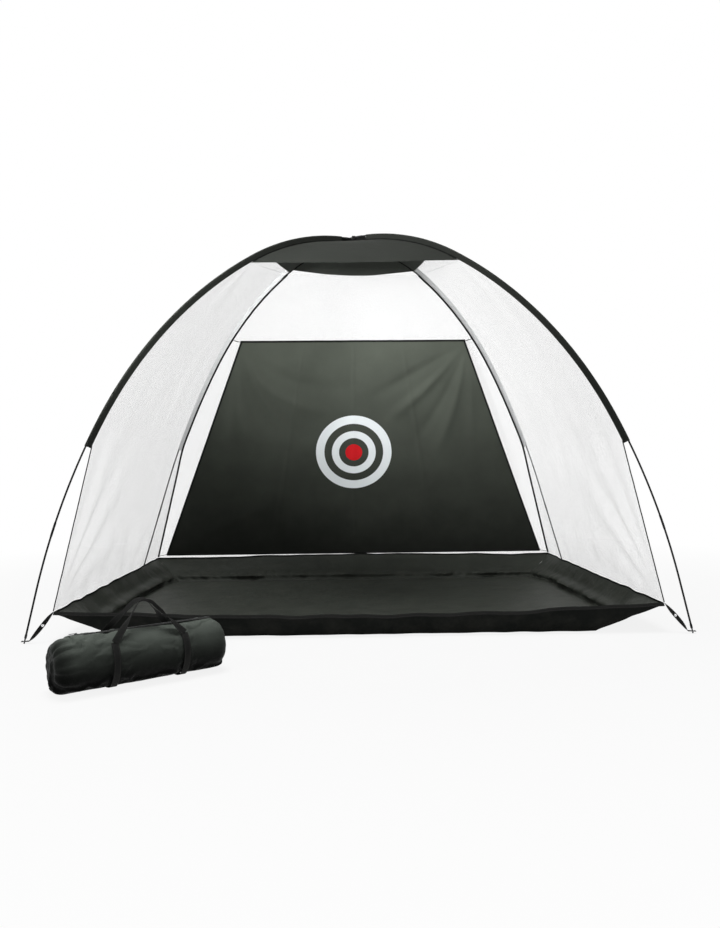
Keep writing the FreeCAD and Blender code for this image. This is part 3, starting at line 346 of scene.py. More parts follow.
def thicken(piece, thickness):
    wall = piece.modifiers.new("Wall", "SOLIDIFY")
    wall.thickness = thickness
    wall.offset = 0.0
    wall.use_even_offset = False
    finish_modifiers(piece)


def join(name, pieces):
    take(pieces[0])
    for piece in pieces[1:]:
        piece.select_set(True)
    bpy.ops.object.join()
    whole = bpy.context.active_object
    whole.name = whole.data.name = name
    return whole


def merge(piece, distance=1e-5):
    take(piece)
    bpy.ops.object.mode_set(mode="EDIT")
    bpy.ops.mesh.select_all(action="SELECT")
    bpy.ops.mesh.remove_doubles(threshold=distance)
    bpy.ops.mesh.normals_make_consistent(inside=False)
    bpy.ops.object.mode_set(mode="OBJECT")


def lay_cloth(name, across, along, place, thickness=0.0):
    """Cloth with its threads measured out from its middle.

    The grid is laid out by place(u, v), with u and v from 0 to 1, and its UV map holds metres
    of cloth, across from the middle and along from the start.
    """
    clear()
    bpy.ops.mesh.primitive_grid_add(x_subdivisions=across, y_subdivisions=along, size=1.0)
    piece = bpy.context.active_object
    piece.name = piece.data.name = name
    mesh = piece.data
    spots = [(round((v.co.x + 0.5) * across), round((v.co.y + 0.5) * along)) for v in mesh.vertices]
    grid = {spot: Vector(place(spot[0] / across, spot[1] / along)) for spot in set(spots)}
    for vertex, spot in zip(mesh.vertices, spots):
        vertex.co = grid[spot]
    middle = across // 2
    up = [0.0]
    for j in range(along):
        up.append(up[-1] + (grid[middle, j + 1] - grid[middle, j]).length)
    out = {}
    widths = []
    for j in range(along + 1):
        out[middle, j] = 0.0
        for i in range(middle, across):
            out[i + 1, j] = out[i, j] + (grid[i + 1, j] - grid[i, j]).length
        for i in range(middle, 0, -1):
            out[i - 1, j] = out[i, j] - (grid[i - 1, j] - grid[i, j]).length
        widths.append(out[across, j] - out[0, j])
    layer = mesh.uv_layers.active or mesh.uv_layers.new(name="Cloth")
    layer.name = "Cloth"
    for loop in mesh.loops:
        spot = spots[loop.vertex_index]
        layer.data[loop.index].uv = (out[spot], up[spot[1]])
    mesh.update()
    area = sum(face.area for face in mesh.polygons)
    longest = max(
        sum((grid[i, j + 1] - grid[i, j]).length for j in range(along))
        for i in (0, middle, across)
    )
    # The rectangle round the cut.
    widest = max(widths)
    if area < 0.3 * widest * longest:
        longest = area / (0.5 * widest)
    piece["cut"] = (widest, longest, area)
    if thickness:
        thicken(piece, thickness)
    smooth(piece)
    return piece


def lay_strip(name, line, width, thickness, facing, steps, start=0.0, end=1.0, across=4,
              offset=None, uneven=0.0):
    """Webbing or binding laid along a line, flat side facing a direction."""

    def place(u, v):
        share = start + (end - start) * v
        centre = line.at(share)
        way = line.way(share)
        front = Vector(facing(share) if callable(facing) else facing)
        side = way.cross(front).normalized()
        front = side.cross(way).normalized()
        if offset:
            centre = centre + side * offset[0] + front * offset[1]
        rough = front * uneven * wave(centre, 0.03, 4.0) + side * uneven * wave(centre, 0.05, 9.0)
        return centre + side * (u - 0.5) * width + rough

    return lay_cloth(name, across, steps, place, thickness)


def smooth(piece, angle=60):
    take(piece)
    bpy.ops.object.shade_smooth_by_angle(angle=math.radians(angle))


def copy_node(name, *nodes):
    """Merged copy of CAD nodes, ready to be shaped."""
    copies = []
    for node in nodes:
        twin = NODES[node].copy()
        twin.data = NODES[node].data.copy()
        twin.parent = None
        for key in list(twin.keys()):
            del twin[key]
        bpy.context.scene.collection.objects.link(twin)
        copies.append(twin)
    whole = join(name, copies)
    whole.data.materials.clear()
    merge(whole, 2e-5)
    return whole


def dress(piece, material, body, slot, *nodes):
    """Gives a piece its finish and its body, and hides the CAD nodes that it stands for."""
    piece.data.materials.clear()
    piece.data.materials.append(material)
    if body:
        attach(piece, body)
    if nodes:
        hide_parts(*nodes)
    return piece


def finish_node(node, material):
    """Better finish for a CAD node that stays."""
    for place in NODES[node].material_slots:
        place.material = material


# Materials


def plug(tree, socket, value):
    """A socket takes another node's output by a link and a plain value as it is."""
    if isinstance(value, bpy.types.NodeSocket):
        tree.links.new(value, socket)
    else:
        socket.default_value = value


def add(tree, kind, inputs=(), **settings):
    """Node with its settings; an input is a number, a colour or another node's output."""
    node = tree.nodes.new(kind)
    for name, value in settings.items():
        setattr(node, name, value)
    pairs = inputs.items() if isinstance(inputs, dict) else enumerate(inputs)
    for place, value in pairs:
        if value is not None:
            plug(tree, node.inputs[place], value)
    return node


def calc(tree, operation, *values):
    return add(tree, "ShaderNodeMath", values, operation=operation).outputs[0]


def times(tree, first, second):
    """Vectors or colours multiplied part by part."""
    return add(tree, "ShaderNodeVectorMath", [first, second], operation="MULTIPLY").outputs[0]


def axes(tree, vector):
    """The x, y and z of a vector."""
    return add(tree, "ShaderNodeSeparateXYZ", [vector]).outputs


def mix(tree, factor, first, second):
    inputs = {0: factor, 6: first, 7: second}
    return add(tree, "ShaderNodeMix", inputs, data_type="RGBA").outputs[2]


def spread(tree, value, low, high, to_low=0.0, to_high=1.0):
    """Value between low and high, moved evenly to another range and held inside it."""
    return add(tree, "ShaderNodeMapRange", [value, low, high, to_low, to_high]).outputs[0]


def cloud(tree, vector, scale, detail=2.0, rough=0.5):
    inputs = {"Vector": vector, "Scale": scale, "Detail": detail, "Roughness": rough}
    return add(tree, "ShaderNodeTexNoise", inputs).outputs["Fac"]


def seen_directly(tree):
    """One for rays of the camera, of a reflection or through glass, and else zero."""
    path = add(tree, "ShaderNodeLightPath")
    return calc(tree, "MAXIMUM", path.outputs["Is Camera Ray"], calc(
        tree, "MAXIMUM", path.outputs["Is Glossy Ray"], path.outputs["Is Transmission Ray"]))


def full(colour):
    return (colour[0], colour[1], colour[2], 1.0)


GROUPS = {}


def effect(name, inputs, outputs, build):
    """Node group with named inputs and outputs, built once."""
    group = bpy.data.node_groups.new(name, "ShaderNodeTree")
    for label, kind, default in inputs:
        socket = group.interface.new_socket(name=label, in_out="INPUT", socket_type=kind)
        if default is not None:
            socket.default_value = default
    for label, kind in outputs:
        group.interface.new_socket(name=label, in_out="OUTPUT", socket_type=kind)
    source = group.nodes.new("NodeGroupInput")
    target = group.nodes.new("NodeGroupOutput")
    results = build(group, source.outputs)
    for label, _ in outputs:
        group.links.new(results[label], target.inputs[label])
    GROUPS[name] = group


VALUE, VECTOR, COLOUR = "NodeSocketFloat", "NodeSocketVector", "NodeSocketColor"


def weave(tree, given):
    """Plain weave: threads over and under each other."""
    parts = axes(tree, given["Cloth"])
    turn = calc(tree, "MULTIPLY", given["Threads per metre"], math.pi)
    slub = calc(tree, "MULTIPLY", cloud(tree, given["Cloth"], 300.0), given["Slub"])
    warp = calc(tree, "SINE", calc(tree, "ADD", calc(tree, "MULTIPLY", parts[0], turn), slub))
    weft = calc(tree, "SINE", calc(tree, "ADD", calc(tree, "MULTIPLY", parts[1], turn), slub))
    over = calc(tree, "MULTIPLY", warp, weft)
    return {"Height": calc(tree, "MULTIPLY_ADD", over, 0.5, 0.5)}


def cloth_tone(tree, given):
    """Colour that drifts over the cloth and flecks from thread to thread."""
    drift = spread(tree, cloud(tree, given["Place"], given["Scale"], 3.0), 0.3, 0.7, -1.0, 1.0)
    fleck = spread(tree, cloud(tree, given["Place"], 450.0, 1.0), 0.25, 0.75, -0.6, 0.6)
    both = calc(tree, "MULTIPLY", calc(tree, "ADD", drift, fleck), given["Amount"])
    gain = calc(tree, "ADD", both, 1.0)
    return {"Colour": times(tree, given["Colour"], gain), "Drift": drift}


def dust(tree, given):
    """Pale dust, thicker near the ground and in patches."""
    height = axes(tree, given["Place"])[2]
    low = spread(tree, height, 0.0, 0.25, 1.0, 0.15)
    patches = spread(tree, cloud(tree, given["Place"], 9.0, 5.0, 0.65), 0.42, 0.75)
    mask = calc(tree, "MULTIPLY", calc(tree, "MULTIPLY", low, patches), given["Amount"])
    return {"Colour": mix(tree, mask, given["Colour"], full(shade(150, 146, 138))), "Mask": mask}


def webbing(tree, given):
    """Ribs along a webbing and the slanting picks between them."""
    parts = axes(tree, given["Cloth"])
    rib = calc(tree, "ABSOLUTE", calc(tree, "SINE", calc(
        tree, "MULTIPLY", parts[0], calc(tree, "DIVIDE", math.pi, given["Rib width"]))))
    slant = calc(tree, "ADD", parts[0], parts[1])
    pick = calc(tree, "ABSOLUTE", calc(tree, "SINE", calc(
        tree, "MULTIPLY", slant, calc(tree, "DIVIDE", 2.2 * math.pi, given["Rib width"]))))
    return {"Height": calc(tree, "MULTIPLY_ADD", pick, 0.4, rib), "Rib": rib}


def stitches(tree, given):
    """Row of stitches along a seam, given the way across and along it."""
    beside = calc(tree, "ABSOLUTE", calc(tree, "SUBTRACT", given["Across"], given["Seam"]))
    near = calc(tree, "LESS_THAN", beside, given["Thread"])
    count = calc(tree, "DIVIDE", given["Along"], given["Pitch"])
    stitch = calc(tree, "LESS_THAN", calc(tree, "FRACT", count), 0.66)
    return {"Mask": calc(tree, "MULTIPLY", near, stitch)}


def wear(tree, given):
    """Fine scratches and rubbed patches of hard parts."""
    stretched = times(tree, given["Place"], (1.0, 1.0, 0.15))
    scratch = spread(tree, cloud(tree, stretched, 900.0, 2.0, 0.7), 0.55, 0.8)
    patch = spread(tree, cloud(tree, given["Place"], 60.0, 4.0, 0.6), 0.45, 0.75)
    mask = calc(tree, "MULTIPLY", calc(tree, "ADD", scratch, patch), given["Amount"])
    return {"Mask": mask, "Height": scratch}


def make_effects():
    effect("Weave", [("Cloth", VECTOR, None), ("Threads per metre", VALUE, 1500.0),
                     ("Slub", VALUE, 1.0)], [("Height", VALUE)], weave)
    effect("Cloth tone", [("Place", VECTOR, None), ("Colour", COLOUR, None),
                          ("Scale", VALUE, 4.0), ("Amount", VALUE, 0.08)],
           [("Colour", COLOUR), ("Drift", VALUE)], cloth_tone)
    effect("Dust", [("Place", VECTOR, None), ("Colour", COLOUR, None), ("Amount", VALUE, 0.2)],
           [("Colour", COLOUR), ("Mask", VALUE)], dust)
    effect("Webbing", [("Cloth", VECTOR, None), ("Rib width", VALUE, 0.0022)],
           [("Height", VALUE), ("Rib", VALUE)], webbing)
    effect("Stitches", [("Across", VALUE, 0.0), ("Along", VALUE, 0.0), ("Seam", VALUE, 0.0),
                        ("Thread", VALUE, 0.0005), ("Pitch", VALUE, 0.004)],
           [("Mask", VALUE)], stitches)
    effect("Wear", [("Place", VECTOR, None), ("Amount", VALUE, 0.3)],
           [("Mask", VALUE), ("Height", VALUE)], wear)


class Finish:
    """Material under construction: its tree, its shader and where its patterns lie."""

    def __init__(self, name):
        self.material = bpy.data.materials.new(name)
        self.material.use_nodes = True
        self.tree = self.material.node_tree
        self.shader = self.tree.nodes["Principled BSDF"]
        source = add(self.tree, "ShaderNodeTexCoord")
        self.place = source.outputs["Object"]
        self.cloth = source.outputs["UV"]

    def group(self, name, **inputs):
        node = self.tree.nodes.new("ShaderNodeGroup")
        node.node_tree = GROUPS[name]
        for label, value in inputs.items():
            plug(self.tree, node.inputs[label.replace("_", " ")], value)
        return node.outputs

    def set(self, **inputs):
        for label, value in inputs.items():
            plug(self.tree, self.shader.inputs[label.replace("_", " ")], value)

    def bump(self, height, strength, distance, after=None):
        inputs = {"Height": height, "Strength": strength, "Distance": distance}
        if after is not None:
            inputs["Normal"] = after
        return add(self.tree, "ShaderNodeBump", inputs).outputs[0]


def woven(name, colour, threads=1500.0, sheen=0.04, rough=0.85, tone=0.07, dusty=0.0,
          crinkle=0.25, scale=4.0, gloss=0.15, through=0.0):
    """Plain woven polyester with soft crinkles; its downward-facing side may be painted lighter,
    standing in for light from above that shines through the cloth.
    """
    finish = Finish(name)
    tree = finish.tree
    base = finish.group("Cloth tone", Place=finish.place, Colour=full(colour), Scale=scale,
                        Amount=tone)["Colour"]
    if dusty:
        base = finish.group("Dust", Place=finish.place, Colour=base, Amount=dusty)["Colour"]
    threads_up = finish.group("Weave", Cloth=finish.cloth, Threads_per_metre=threads)["Height"]
    soft = cloud(tree, finish.place, 28.0, 4.0, 0.55)
    normal = finish.bump(soft, crinkle, 0.004)
    normal = finish.bump(threads_up, 0.35, 0.0002, normal)
    finish.set(Base_Color=base, Normal=normal, Sheen_Weight=sheen, Sheen_Roughness=0.5,
               Specular_IOR_Level=gloss,
               Roughness=spread(tree, threads_up, 0.0, 1.0, rough, rough - 0.12))
    # Painted light: cloth facing downwards is coloured up to 1 + through times lighter, standing in
    # for light from above shining through it.
    if through:
        facing = add(tree, "ShaderNodeNewGeometry").outputs["Normal"]
        upwards = axes(tree, facing)[2]
        gain = spread(tree, upwards, -0.15, 0.15, 1.0 + through, 1.0)
        finish.set(Base_Color=times(tree, base, gain))
    return finish


def painted_shade_by_height(finish, low, high, dark, bright, steep=1.0):
    """Painted light and shade: cloth coloured darker at its foot and lighter at its top, as if lit
    from above.
    """
    tree = finish.tree
    height = axes(tree, finish.place)[2]
    patchy = spread(tree, cloud(tree, finish.place, 5.0, 3.0), 0.3, 0.7, -0.06, 0.06)
    share = spread(tree, calc(tree, "ADD", height, calc(tree, "MULTIPLY", patchy, high - low)),
                   low, high, dark, bright)
    share = calc(tree, "POWER", share, steep)
    base = finish.shader.inputs["Base Color"].links[0].from_socket
    return times(tree, base, share)


def make_net_cloth(settings):
    """White netting of diamond holes, half seen through."""
    finish = Finish("White netting")
    tree = finish.tree
    parts = axes(tree, finish.cloth)
    pitch = 2 * math.pi / 0.0026
    lean = calc(tree, "MULTIPLY", calc(tree, "ADD", parts[0], parts[1]), pitch)
    back = calc(tree, "MULTIPLY", calc(tree, "SUBTRACT", parts[0], parts[1]), pitch)
    thread = calc(tree, "MAXIMUM", calc(tree, "COSINE", lean), calc(tree, "COSINE", back))
    edge_of_thread = math.cos(math.pi * settings.net_cover)
    mask = spread(tree, thread, edge_of_thread - 0.12, edge_of_thread + 0.12)
    away = add(tree, "ShaderNodeLayerWeight", {"Blend": 0.5}).outputs["Facing"]
    closed = spread(tree, away, 0.6, 0.95, 0.0, 0.17)
    mask = calc(tree, "MAXIMUM", mask, closed)
    base = finish.group("Cloth tone", Place=finish.place, Colour=full(settings.net_colour),
                        Scale=3.0, Amount=0.03)["Colour"]
    finish.set(Base_Color=base, Alpha=mask, Roughness=0.7, Sheen_Weight=0.1,
               Normal=finish.bump(mask, 0.4, 0.0004))
    return finish.material


def make_webbing(name, colour, rib=0.0022, dusty=0.04, seam=0.0):
    finish = Finish(name)
    tree = finish.tree
    ribs = finish.group("Webbing", Cloth=finish.cloth, Rib_width=rib)
    base = finish.group("Cloth tone", Place=finish.place, Colour=full(colour), Scale=12.0,
                        Amount=0.10)["Colour"]
    worn = mix(tree, spread(tree, ribs["Rib"], 0.0, 1.0, 0.0, 0.05), base, full(shade(92, 92, 90)))
    if dusty:
        worn = finish.group("Dust", Place=finish.place, Colour=worn, Amount=dusty)["Colour"]
    if seam:
        parts = axes(tree, finish.cloth)
        thread = finish.group("Stitches", Across=calc(tree, "ABSOLUTE", parts[0]),
                              Along=parts[1], Seam=seam)["Mask"]
        worn = mix(tree, thread, worn, full(shade(62, 62, 60)))
    finish.set(Base_Color=worn, Roughness=spread(tree, ribs["Rib"], 0.0, 1.0, 0.9, 0.75),
               Specular_IOR_Level=0.15, Normal=finish.bump(ribs["Height"], 0.55, 0.0006))
    return finish.material


def make_hard(name, colour, metallic, rough, worn, wear_amount, scratch=0.12, gloss=0.5):
    """Metal or plastic with fine wear."""
    finish = Finish(name)
    tree = finish.tree
    rubbed = finish.group("Wear", Place=finish.place, Amount=wear_amount)
    finish.set(
        Base_Color=mix(tree, rubbed["Mask"], full(colour), full(worn)), Metallic=metallic,
        Roughness=spread(tree, rubbed["Mask"], 0.0, 1.0, rough, min(rough + 0.25, 1.0)),
        Normal=finish.bump(rubbed["Height"], scratch, 0.0002), Specular_IOR_Level=gloss,
    )
    return finish.material


def make_glass_fibre():
    """Black wound tube: fine lengthwise fibres under a thin gloss."""
    finish = Finish("Glass fibre")
    tree = finish.tree
    fibres = cloud(tree, times(tree, finish.place, (9.0, 9.0, 0.5)), 260.0, 3.0)
    base = mix(tree, spread(tree, fibres, 0.35, 0.7), full(shade(22, 23, 23)),
               full(shade(38, 39, 39)))
    rubbed = finish.group("Wear", Place=finish.place, Amount=0.3)
    finish.set(Base_Color=mix(tree, rubbed["Mask"], base, full(shade(96, 96, 94))),
               Roughness=spread(tree, fibres, 0.3, 0.8, 0.6, 0.75),
               Specular_IOR_Level=0.06, Normal=finish.bump(fibres, 0.15, 0.0002))
    return finish.material


def make_elastic(name, colour, fleck):
    """Braided elastic cord: two sets of crossing strands."""
    finish = Finish(name)
    tree = finish.tree
    parts = axes(tree, finish.place)
    along = calc(tree, "ADD", calc(tree, "MULTIPLY", parts[2], 1.3), parts[0])
    strand = calc(tree, "SINE", calc(tree, "MULTIPLY", along, 2 * math.pi / 0.0016))
    other = calc(tree, "SINE", calc(tree, "MULTIPLY", calc(
        tree, "SUBTRACT", parts[1], along), 2 * math.pi / 0.0019))
    braid = calc(tree, "MAXIMUM", strand, other)
    base = mix(tree, spread(tree, braid, 0.6, 1.0, 0.0, 0.5), full(colour), full(fleck))
    finish.set(Base_Color=base, Roughness=spread(tree, braid, -1.0, 1.0, 0.85, 0.6),
               Specular_IOR_Level=0.15, Normal=finish.bump(braid, 0.6, 0.0004))
    return finish.material


def make_target_cloth(settings):
    """Black target cloth with printed rings and painted shade that darkens it towards its foot."""
    finish = woven("Ringed cloth", settings.cloth, threads=1300.0, tone=0.08, crinkle=0.12,
                   gloss=0.2)
    tree = finish.tree
    lean = LEAN["target"]
    parts = axes(tree, finish.place)
    high = calc(tree, "DIVIDE", calc(tree, "SUBTRACT", parts[2], settings.centre_height),
                math.cos(lean))
    away = calc(tree, "SQRT", calc(tree, "ADD", calc(tree, "MULTIPLY", parts[0], parts[0]),
                                   calc(tree, "MULTIPLY", high, high)))
    away = calc(tree, "ADD", away, spread(tree, cloud(tree, finish.place, 700.0), 0.2, 0.8,
                                          -0.0008, 0.0008))

    facing = add(tree, "ShaderNodeNewGeometry").outputs["Normal"]
    front = calc(tree, "LESS_THAN", axes(tree, facing)[1], 0.0)

    def disc(radius):
        print_edge = spread(tree, away, radius - 0.0009, radius + 0.0009, 1.0, 0.0)
        return calc(tree, "MULTIPLY", print_edge, front)

    outer = calc(tree, "SUBTRACT", disc(settings.ring_outer), disc(settings.ring_outer_inside))
    inner = calc(tree, "SUBTRACT", disc(settings.ring_inner), disc(settings.ring_inner_inside))
    white = calc(tree, "ADD", outer, inner)
    print_wear = spread(tree, cloud(tree, finish.place, 35.0, 6.0, 0.7), 0.62, 0.85, 1.0, 0.86)
    # Painted light and shade: the cloth is coloured lighter at its top and darker towards its foot.
    base = painted_shade_by_height(finish, 0.2, 1.6, 0.26, 1.65)
    base = mix(tree, calc(tree, "MULTIPLY", white, print_wear), base, full(settings.white))
    base = mix(tree, calc(tree, "MULTIPLY", disc(settings.bull), print_wear), base,
               full(settings.red))
    finish.set(Base_Color=base)
    return finish.material


def make_bag_cloth(settings):
    """Coated satin cloth of the bag, creased and slightly shiny, with painted light and shade:
    lighter at its top, darker at its foot and at its left end.
    """
    finish = woven("Bag cloth", settings.cloth, threads=1700.0, rough=0.5,
                   tone=0.06, crinkle=0.8, scale=9.0, gloss=0.03)
    tree = finish.tree
    creases = add(tree, "ShaderNodeTexVoronoi",
                  {"Vector": add(tree, "ShaderNodeVectorMath",
                                 [finish.place, cloud(tree, finish.place, 20.0)]).outputs[0],
                   "Scale": 26.0}, feature="DISTANCE_TO_EDGE").outputs["Distance"]
    sharp = spread(tree, creases, 0.0, 0.10)
    before = finish.shader.inputs["Normal"].links[0].from_socket
    # Painted highlight and shade: the cloth is coloured lighter at its top and darker towards its
    # foot.
    finish.set(Normal=finish.bump(sharp, 0.25, 0.0012, before),
               Base_Color=painted_shade_by_height(finish, 0.05, 0.21, 0.24, 1.85, 2.0))
    # Painted shade: the left end of the bag is coloured darker, down to 0.4 of its colour.
    along = add(tree, "ShaderNodeVectorMath",
                [finish.place, (math.cos(BAG_TURN), math.sin(BAG_TURN), 0.0)],
                operation="DOT_PRODUCT").outputs["Value"]
    middle = BAG_PLACE.x * math.cos(BAG_TURN) + BAG_PLACE.y * math.sin(BAG_TURN)
    end = spread(tree, along, middle - 0.315, middle - 0.27, 0.4, 1.0)
    base = finish.shader.inputs["Base Color"].links[0].from_socket
    finish.set(Base_Color=times(tree, base, end))
    return finish.material


LEAN = {}
FINISHES = {}


def measure_lean():
    """Lean of the target from the upright."""
    side = target_edge("left")
    run = side.at(1.0) - side.at(0.0)
    LEAN["target"] = math.atan2(-run.y, run.z)


def target_edge(side):
    """Upright edge of the target cloth, from its foot to its top."""
    sign = -1 if side == "left" else 1
    return edge("target_cloth", lambda p: p.x * sign > 0, lambda p: p.z)


def make_finishes():
    scene = bpy.context.scene
    net, tray, target, bag = (
        scene.chipping_net, scene.chipping_tray, scene.chipping_target, scene.chipping_bag
    )
    measure_lean()
    make_effects()
    FINISHES.update(
        netting=make_net_cloth(net),
        black_cloth=woven("Black sleeve cloth", net.black_cloth, 1500.0, sheen=0.0,
                          gloss=0.05).material,
        # Painted light: the crown cloth's downward-facing side is coloured lighter, standing in for
        # light from above shining through it.
        crown_cloth=woven("Black crown cloth", net.black_cloth, 1500.0, sheen=0.0, gloss=0.05,
                          crinkle=0.5, through=1.7).material,
        # Seam tape, darker than the cloth; the darker colour also paints the shade along the
        # sleeves' seams.
        seam_tape=woven("Black seam tape and painted shade", shade(22, 23, 22), 1800.0, 0.0, gloss=0.03).material,
        white_cloth=woven("White sleeve cloth", net.white_cloth, 1500.0, 0.0, 0.9, 0.03).material,
        piping=woven("Pale piping", shade(150, 150, 146), 1800.0, 0.0, 0.9, 0.05).material,
        tray=woven("Tray cloth", tray.cloth, 1400.0, 0.0, 0.62, 0.12, 0.04, 0.6, 5.0,
                   gloss=0.12).material,
        # Painted shade: a darker copy of the tray cloth for the front wall, standing in for the
        # shade on its outer side.
        tray_underside=woven("Tray underside", tray.underside, 1400.0, 0.0, 0.9, 0.08, 0.06, 0.35,
                             gloss=0.05).material,
        webbing=make_webbing("Black webbing", shade(12, 13, 12), seam=0.0095),
        binding=make_webbing("Black binding", shade(15, 16, 15), 0.0016, 0.02, 0.004),
        target=make_target_cloth(target),
        bag=make_bag_cloth(bag),
        zip_tape=make_webbing("Zip tape", shade(42, 43, 42), 0.0012, 0.05),
        elastic=make_elastic("Black elastic", shade(26, 26, 27), shade(64, 64, 66)),
        fibre=make_glass_fibre(),
        steel=make_hard("Plated steel", shade(196, 198, 200), 1.0, 0.22, shade(140, 140, 138),
                        0.25),
        black_steel=make_hard("Black coated steel", shade(34, 35, 36), 0.0, 0.6,
                              shade(70, 70, 69), 0.2, gloss=0.1),
        dark_steel=make_hard("Zip metal", shade(84, 85, 86), 0.9, 0.42, shade(140, 140, 138),
                             0.3),
        plastic=make_hard("Barrel plastic", shade(24, 24, 25), 0.0, 0.6, shade(60, 60, 61),
                          0.2, gloss=0.15),
    )


# Operators, one for each piece or group of like pieces


class PoleFinish(bpy.types.Operator):
    """Finish the poles, ferrules, tips, elastic cords and eyelets"""

    bl_idname = "chipping.poles"
    bl_label = "Poles and metal"

    def execute(self, context):
        make_finishes()
        for leg in LEGS:
            for part in ("foot", "lower", "sleeved"):
                finish_node("pole_%s_%s" % (leg, part), FINISHES["fibre"])
        for node in ("pole_ferrules", "pole_tips"):
            finish_node(node, FINISHES["black_steel"])
        finish_node("strap_eyelets", FINISHES["steel"])
        finish_node("pole_shock_cords", FINISHES["elastic"])
        for node in ("tie_barrel_left", "tie_barrel_right"):
            finish_node(node, FINISHES["plastic"])
        for node in ("zip_slider", "zip_pull"):
            finish_node(node, FINISHES["dark_steel"])
        return {"FINISHED"}


class SleeveSewing(bpy.types.Operator):
    """Sew the four cloth sleeves round the poles"""

    bl_idname = "chipping.sleeves"
    bl_label = "Pole sleeves"

    def execute(self, context):
        settings = context.scene.chipping_net
        for name, leg in leg_lines().items():
            front = name.startswith("front")
            end = settings.front_sleeve_end if front else settings.rear_sleeve_end
            piece = self.sew(name, leg, settings, leg.share_at_height(end), front)
            cloth = "black_cloth" if front else "white_cloth"
            dress(piece, FINISHES[cloth], "frame", cloth, "sleeve_" + name)
        return {"FINISHED"}

    def sew(self, name, leg, settings, end, front):
        start = settings.sleeve_gap / leg.length
        outwards = heading(leg)
        radius, depth = settings.sleeve_radius, settings.sleeve_depth
        pucker = 0.0009 if front else 0.0016

        def profile(u, radius):
            """Depth and side of a point of the tunnel, from one layer's edge to the other's."""
            flat = settings.cloth_thickness * 0.75
            touch = math.atan2(flat, depth) + math.acos(radius / math.hypot(depth, flat))
            straight = math.sqrt(depth**2 + flat**2 - radius**2)
            arc = radius * 2 * (math.pi - touch)
            place = u * (2 * straight + arc)
            contact = (radius * math.cos(touch), radius * math.sin(touch))
            if place < straight:
                share = place / straight
                return depth + (contact[0] - depth) * share, flat + (contact[1] - flat) * share
            if place > straight + arc:
                share = (place - straight - arc) / straight
                deep = contact[0] + (depth - contact[0]) * share
                return deep, -contact[1] + (contact[1] - flat) * share
            turn = touch + (place - straight) / radius
            return radius * math.cos(turn), radius * math.sin(turn)

        def place(u, v):
            ragged = 0.004 * wave((u * 9, v, 0), 1.0, 3.0) / leg.length
            share = start + (end - start) * v + ragged * (1 - 2 * v)
            centre = leg.at(share)
            way = leg.way(share)
            inwards = inward(way, outwards)
            side = way.cross(inwards)
            swell = 1 + 0.06 * wave(centre, 0.035, 2.0)
            deep, aside = profile(u, radius * swell)
            loose = max(deep, 0.0) / depth
            loose = loose * loose * (1.3 - loose)
            aside += pucker * 3 * loose * wave(centre + side * 0.01, 0.028, 5.0)
            aside += pucker * 1.6 * loose * wave(centre, 0.012, 8.0)
            return centre + inwards * deep + side * aside

        steps = int(leg.length * (end - start) / 0.011)
        return lay_cloth("sleeve_cloth_" + name, 32, steps, place, settings.cloth_thickness)


